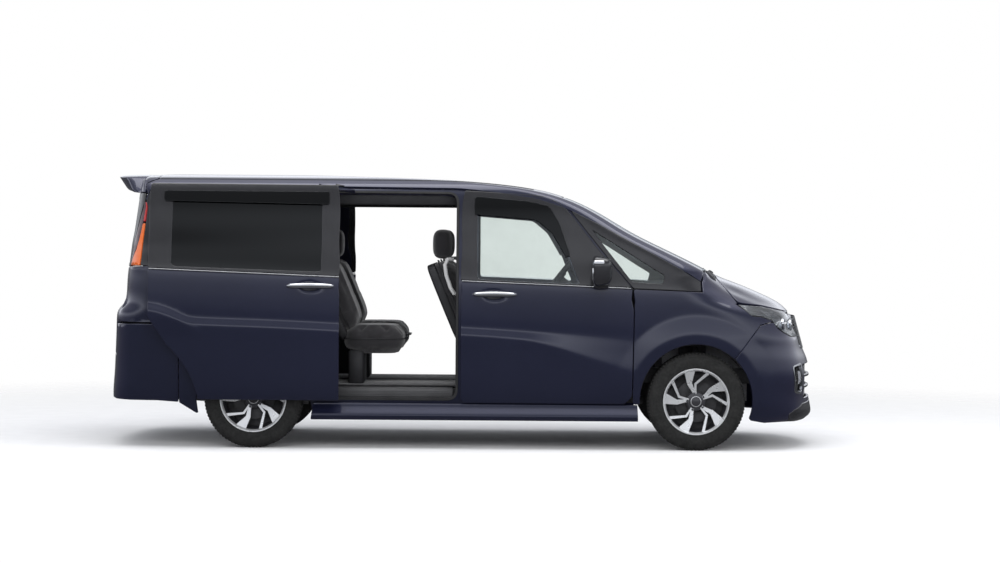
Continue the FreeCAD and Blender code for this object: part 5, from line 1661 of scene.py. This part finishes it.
def seat(prefix, x, ys, width, lift, node, reach=430, front=505):
    """Padded seats side by side: cushion, back, headrests, shell, base and piping."""
    bench = width > 800
    voxel = WIDE_VOXEL if bench else FINE_VOXEL
    half = width / 2
    cushion = blob(-70, front, -half, half, 632, 778, 0.42, 56, 30, cushion_form)
    cushion = soften(cushion, prefix + "_cushion_cover", voxel=voxel)
    back = blob(-62, 78, -half + 6, half - 6, -275, 262, 0.42, 56, 34, back_form)
    back = soften(back, prefix + "_back_cover", voxel=voxel)
    cover = soften(blob(-66, 62, -130, 130, -96, 96, 0.55, 44, 26), prefix + "_rest_cover", 12)

    def leaned(shape):
        return moved(turned_about(shape, SEAT_LEAN), -108, z=994)
    for i, y in enumerate(ys):
        tag = "%s_%d" % (prefix, i + 1)
        for kind, form in (("cushion", cushion), ("back", leaned(back))):
            ob = piece(tag + "_" + kind, moved(form, x, y, lift), "cloth", smooth=80,
                       replaces=[node] if i == 0 and kind == "cushion" else ())
        for j, off in enumerate((-370, 0, 370) if bench else (0,)):
            ob = piece(tag + "_headrest_%d" % (j + 1),
                       moved(cover, x - 170, y + off, 1336 + lift), "cloth", smooth=80)
            posts = joined(*[tube([(x - 160, y + off + side, 1180 + lift),
                                   (x - 168, y + off + side, 1290 + lift)], 6, 10)
                             for side in (-60, 60)])
            piece(tag + "_posts_%d" % (j + 1), posts, "matt")
        base = rib_box(x - 20, x + reach, y - half + 50, y + half - 50, 400, 634 + lift, 14)
        piece(tag + "_base", base, "trim")
        shell = leaned(blob(-86, -20, -half + 24, half - 24, -300, 246, 0.3, 44, 26))
        piece(tag + "_shell", moved(shell, x, y, lift), "trim")
        piping = joined(ring_on(cushion, 2, 706), leaned(ring_on(back, 0, 2)))
        piece(tag + "_piping", moved(piping, x, y, lift), "trim")


seat("front_seat", 30, (-370, 370), 500, 0, "front_seats")
seat("second_seat", -740, (-350, 350), 500, 0, "second_row_seats", 80, 366)
seat("third_seat", -1610, (0,), 1120, 30, "third_row_seat")
both("seat_grip", tube([(-70, 604, 1235), (-104, 634, 1236), (-122, 638, 1200),
                        (-112, 640, 1130), (-84, 638, 1050), (-62, 634, 1012),
                        (-34, 604, 1010)], 13, 14), "light")

# Trim over the doorways
both("doorway_header", rib_box(-1290, 20, 606, 664, 1592, 1682, 10), "trim")

# Steps in the doorways, ribbed
plate = rib_box(-985, -62, 640, 786, 384, 393, 3)
ridges = [rib_box(-960, -90, y, y + 5, 392, 395.5, 1.2) for y in range(655, 780, 15)]
riser = rib_box(-975, -62, 778, 790, 330, 388, 4)
lines = [rib_box(-960, -80, 789, 792.5, z, z + 3.5, 1) for z in (342, 352, 362, 372)]
both("step_plate", joined(plate, riser, *ridges, *lines), "grey")
both("floor_mat", rib_box(-960, 20, 60, 630, 398, 408, 4), "carpet")

# Wipers
for name, y0, y1, x0 in (("left", 610, 90, 1668), ("right", 30, -480, 1672)):
    n = 20
    ys = np.linspace(y0, y1, n)
    xs = np.linspace(x0, x0 - 26, n)
    z = top_height(xs, ys) + 5
    piece("wiper_blade_" + name, tube(np.stack([xs, ys, z], 1), 3.5, 8, flat=1.4), "rubber")
    arm_y = np.linspace(y0 - 20, (y0 + y1) / 2, 12)
    arm_x = np.linspace(x0 + 26, float(np.interp((y0 + y1) / 2, [y1, y0], [x0 - 26, x0])), 12)
    arm_z = top_height(arm_x, arm_y) + 9
    arm_z[0] -= 12
    piece("wiper_arm_" + name, tube(np.stack([arm_x, arm_y, arm_z], 1),
                                    np.linspace(6, 3.5, 12), 10, flat=0.7), "matt")


# The parts of the frame that stay in view take the same finishes
KEPT = {"clear_glass": "clear", "privacy_glass": "privacy", "lamp_lens": "cover",
        "tail_lens": "red", "body_paint": "paint", "black_plastic": "matt",
        "chrome_trim": "chrome", "cabin_plastic": "trim", "carpet": "carpet",
        "seat_cloth": "cloth", "steel": "steel", "engine_alloy": "cast",
        "tyre_rubber": "tyre", "wheel_alloy": "alloy"}
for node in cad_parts.values():
    for place in node.material_slots:
        name = (place.material.name if place.material else "").split(".")[0]
        if name in KEPT:
            place.material = FINISH[KEPT[name]][0]

# Camera, light and floor
scene = bpy.context.scene
scene.view_settings.view_transform = "Standard"
camera = bpy.data.cameras.new("camera")
camera.lens = 88.5
camera.sensor_width = 36
camera.clip_end = 200
eye = bpy.data.objects.new("camera", camera)
eye.location = (0.24, -16.84, 1.366)
eye.rotation_euler = (math.radians(90 - 0.955), math.radians(-0.41), 0)
scene.collection.objects.link(eye)
scene.camera = eye

# The camera sees plain white. The paint and glass see a studio: dark below, a bright band
# just over the horizon and a soft sky above it. Each stop is (height, brightness).
scene.world = bpy.data.worlds.new("studio")
studio = Nodes(scene.world, "OutputWorld")
rising = studio.add("SeparateXYZ", {0: studio.add("TexCoord").outputs["Generated"]}).outputs[2]
band = studio.add("ValToRGB", {0: studio.between(rising, -1, 1)})
stops = band.color_ramp.elements
stops[0].position, stops[0].color = 0.0, (0.16, 0.16, 0.17, 1)
stops[1].position, stops[1].color = 1.0, (1.3, 1.3, 1.36, 1)
for place, tone in ((0.49, 0.10), (0.51, 0.30), (0.56, 1.25), (0.60, 1.7), (0.64, 1.15),
                    (0.71, 0.42), (0.80, 0.5), (0.90, 1.0)):
    stops.new(place).color = (tone * 0.97, tone, tone * 1.07, 1)
seen = studio.add("LightPath").outputs["Is Camera Ray"]
sky = studio.add("Background", {0: band, "Strength": 0.8})
white = studio.add("Background", {0: (1, 1, 1, 1), "Strength": 1.0})
studio.finish(studio.add("MixShader", {0: seen, 1: sky, 2: white}))


def softbox(name, at, aim, size, power, glossy=False):
    """A rectangular light at one point, aimed at another."""
    light = bpy.data.lights.new(name, "AREA")
    light.shape = "RECTANGLE"
    light.size, light.size_y = size
    light.energy = power
    ob = bpy.data.objects.new(name, light)
    ob.location = at
    to = [b - a for a, b in zip(at, aim)]
    flat = math.hypot(to[0], to[1])
    ob.rotation_euler = (math.pi / 2 + math.atan2(to[2], flat), 0,
                         math.atan2(to[1], to[0]) - math.pi / 2)
    scene.collection.objects.link(ob)
    ob.visible_glossy = glossy


softbox("overhead", (0.0, -1.0, 6.0), (0.0, 0.0, 1.0), (9.0, 4.5), 300, glossy=True)
softbox("side_light", (-1.0, -9.0, 4.2), (0.0, 0.0, 0.9), (12.0, 4.0), 520)
softbox("front_light", (8.0, -3.5, 3.5), (1.8, 0.0, 0.8), (4.0, 2.5), 160)

floor_mesh = bpy.data.meshes.new("floor")
floor_mesh.from_pydata([(-60, -60, 0), (60, -60, 0), (60, 60, 0), (-60, 60, 0)], [],
                       [(0, 1, 2, 3)])
floor = bpy.data.objects.new("floor", floor_mesh)
scene.collection.objects.link(floor)
floor.visible_glossy = False
ground = material("pale_floor")
tone = ground.cloudy(6.0, 6, (0.80, 0.80, 0.80, 1), (0.84, 0.84, 0.84, 1))
solid = ground.add("BsdfPrincipled", {"Base Color": tone, "Roughness": 0.9})
apart = ground.add("VectorMath", {0: ground.place()}, operation="LENGTH").outputs["Value"]
faded = ground.add("MixShader", {0: ground.between(apart, 3.0, 7.5), 1: solid,
                                 2: ground.add("BsdfTransparent")})
floor_mesh.materials.append(ground.finish(faded))
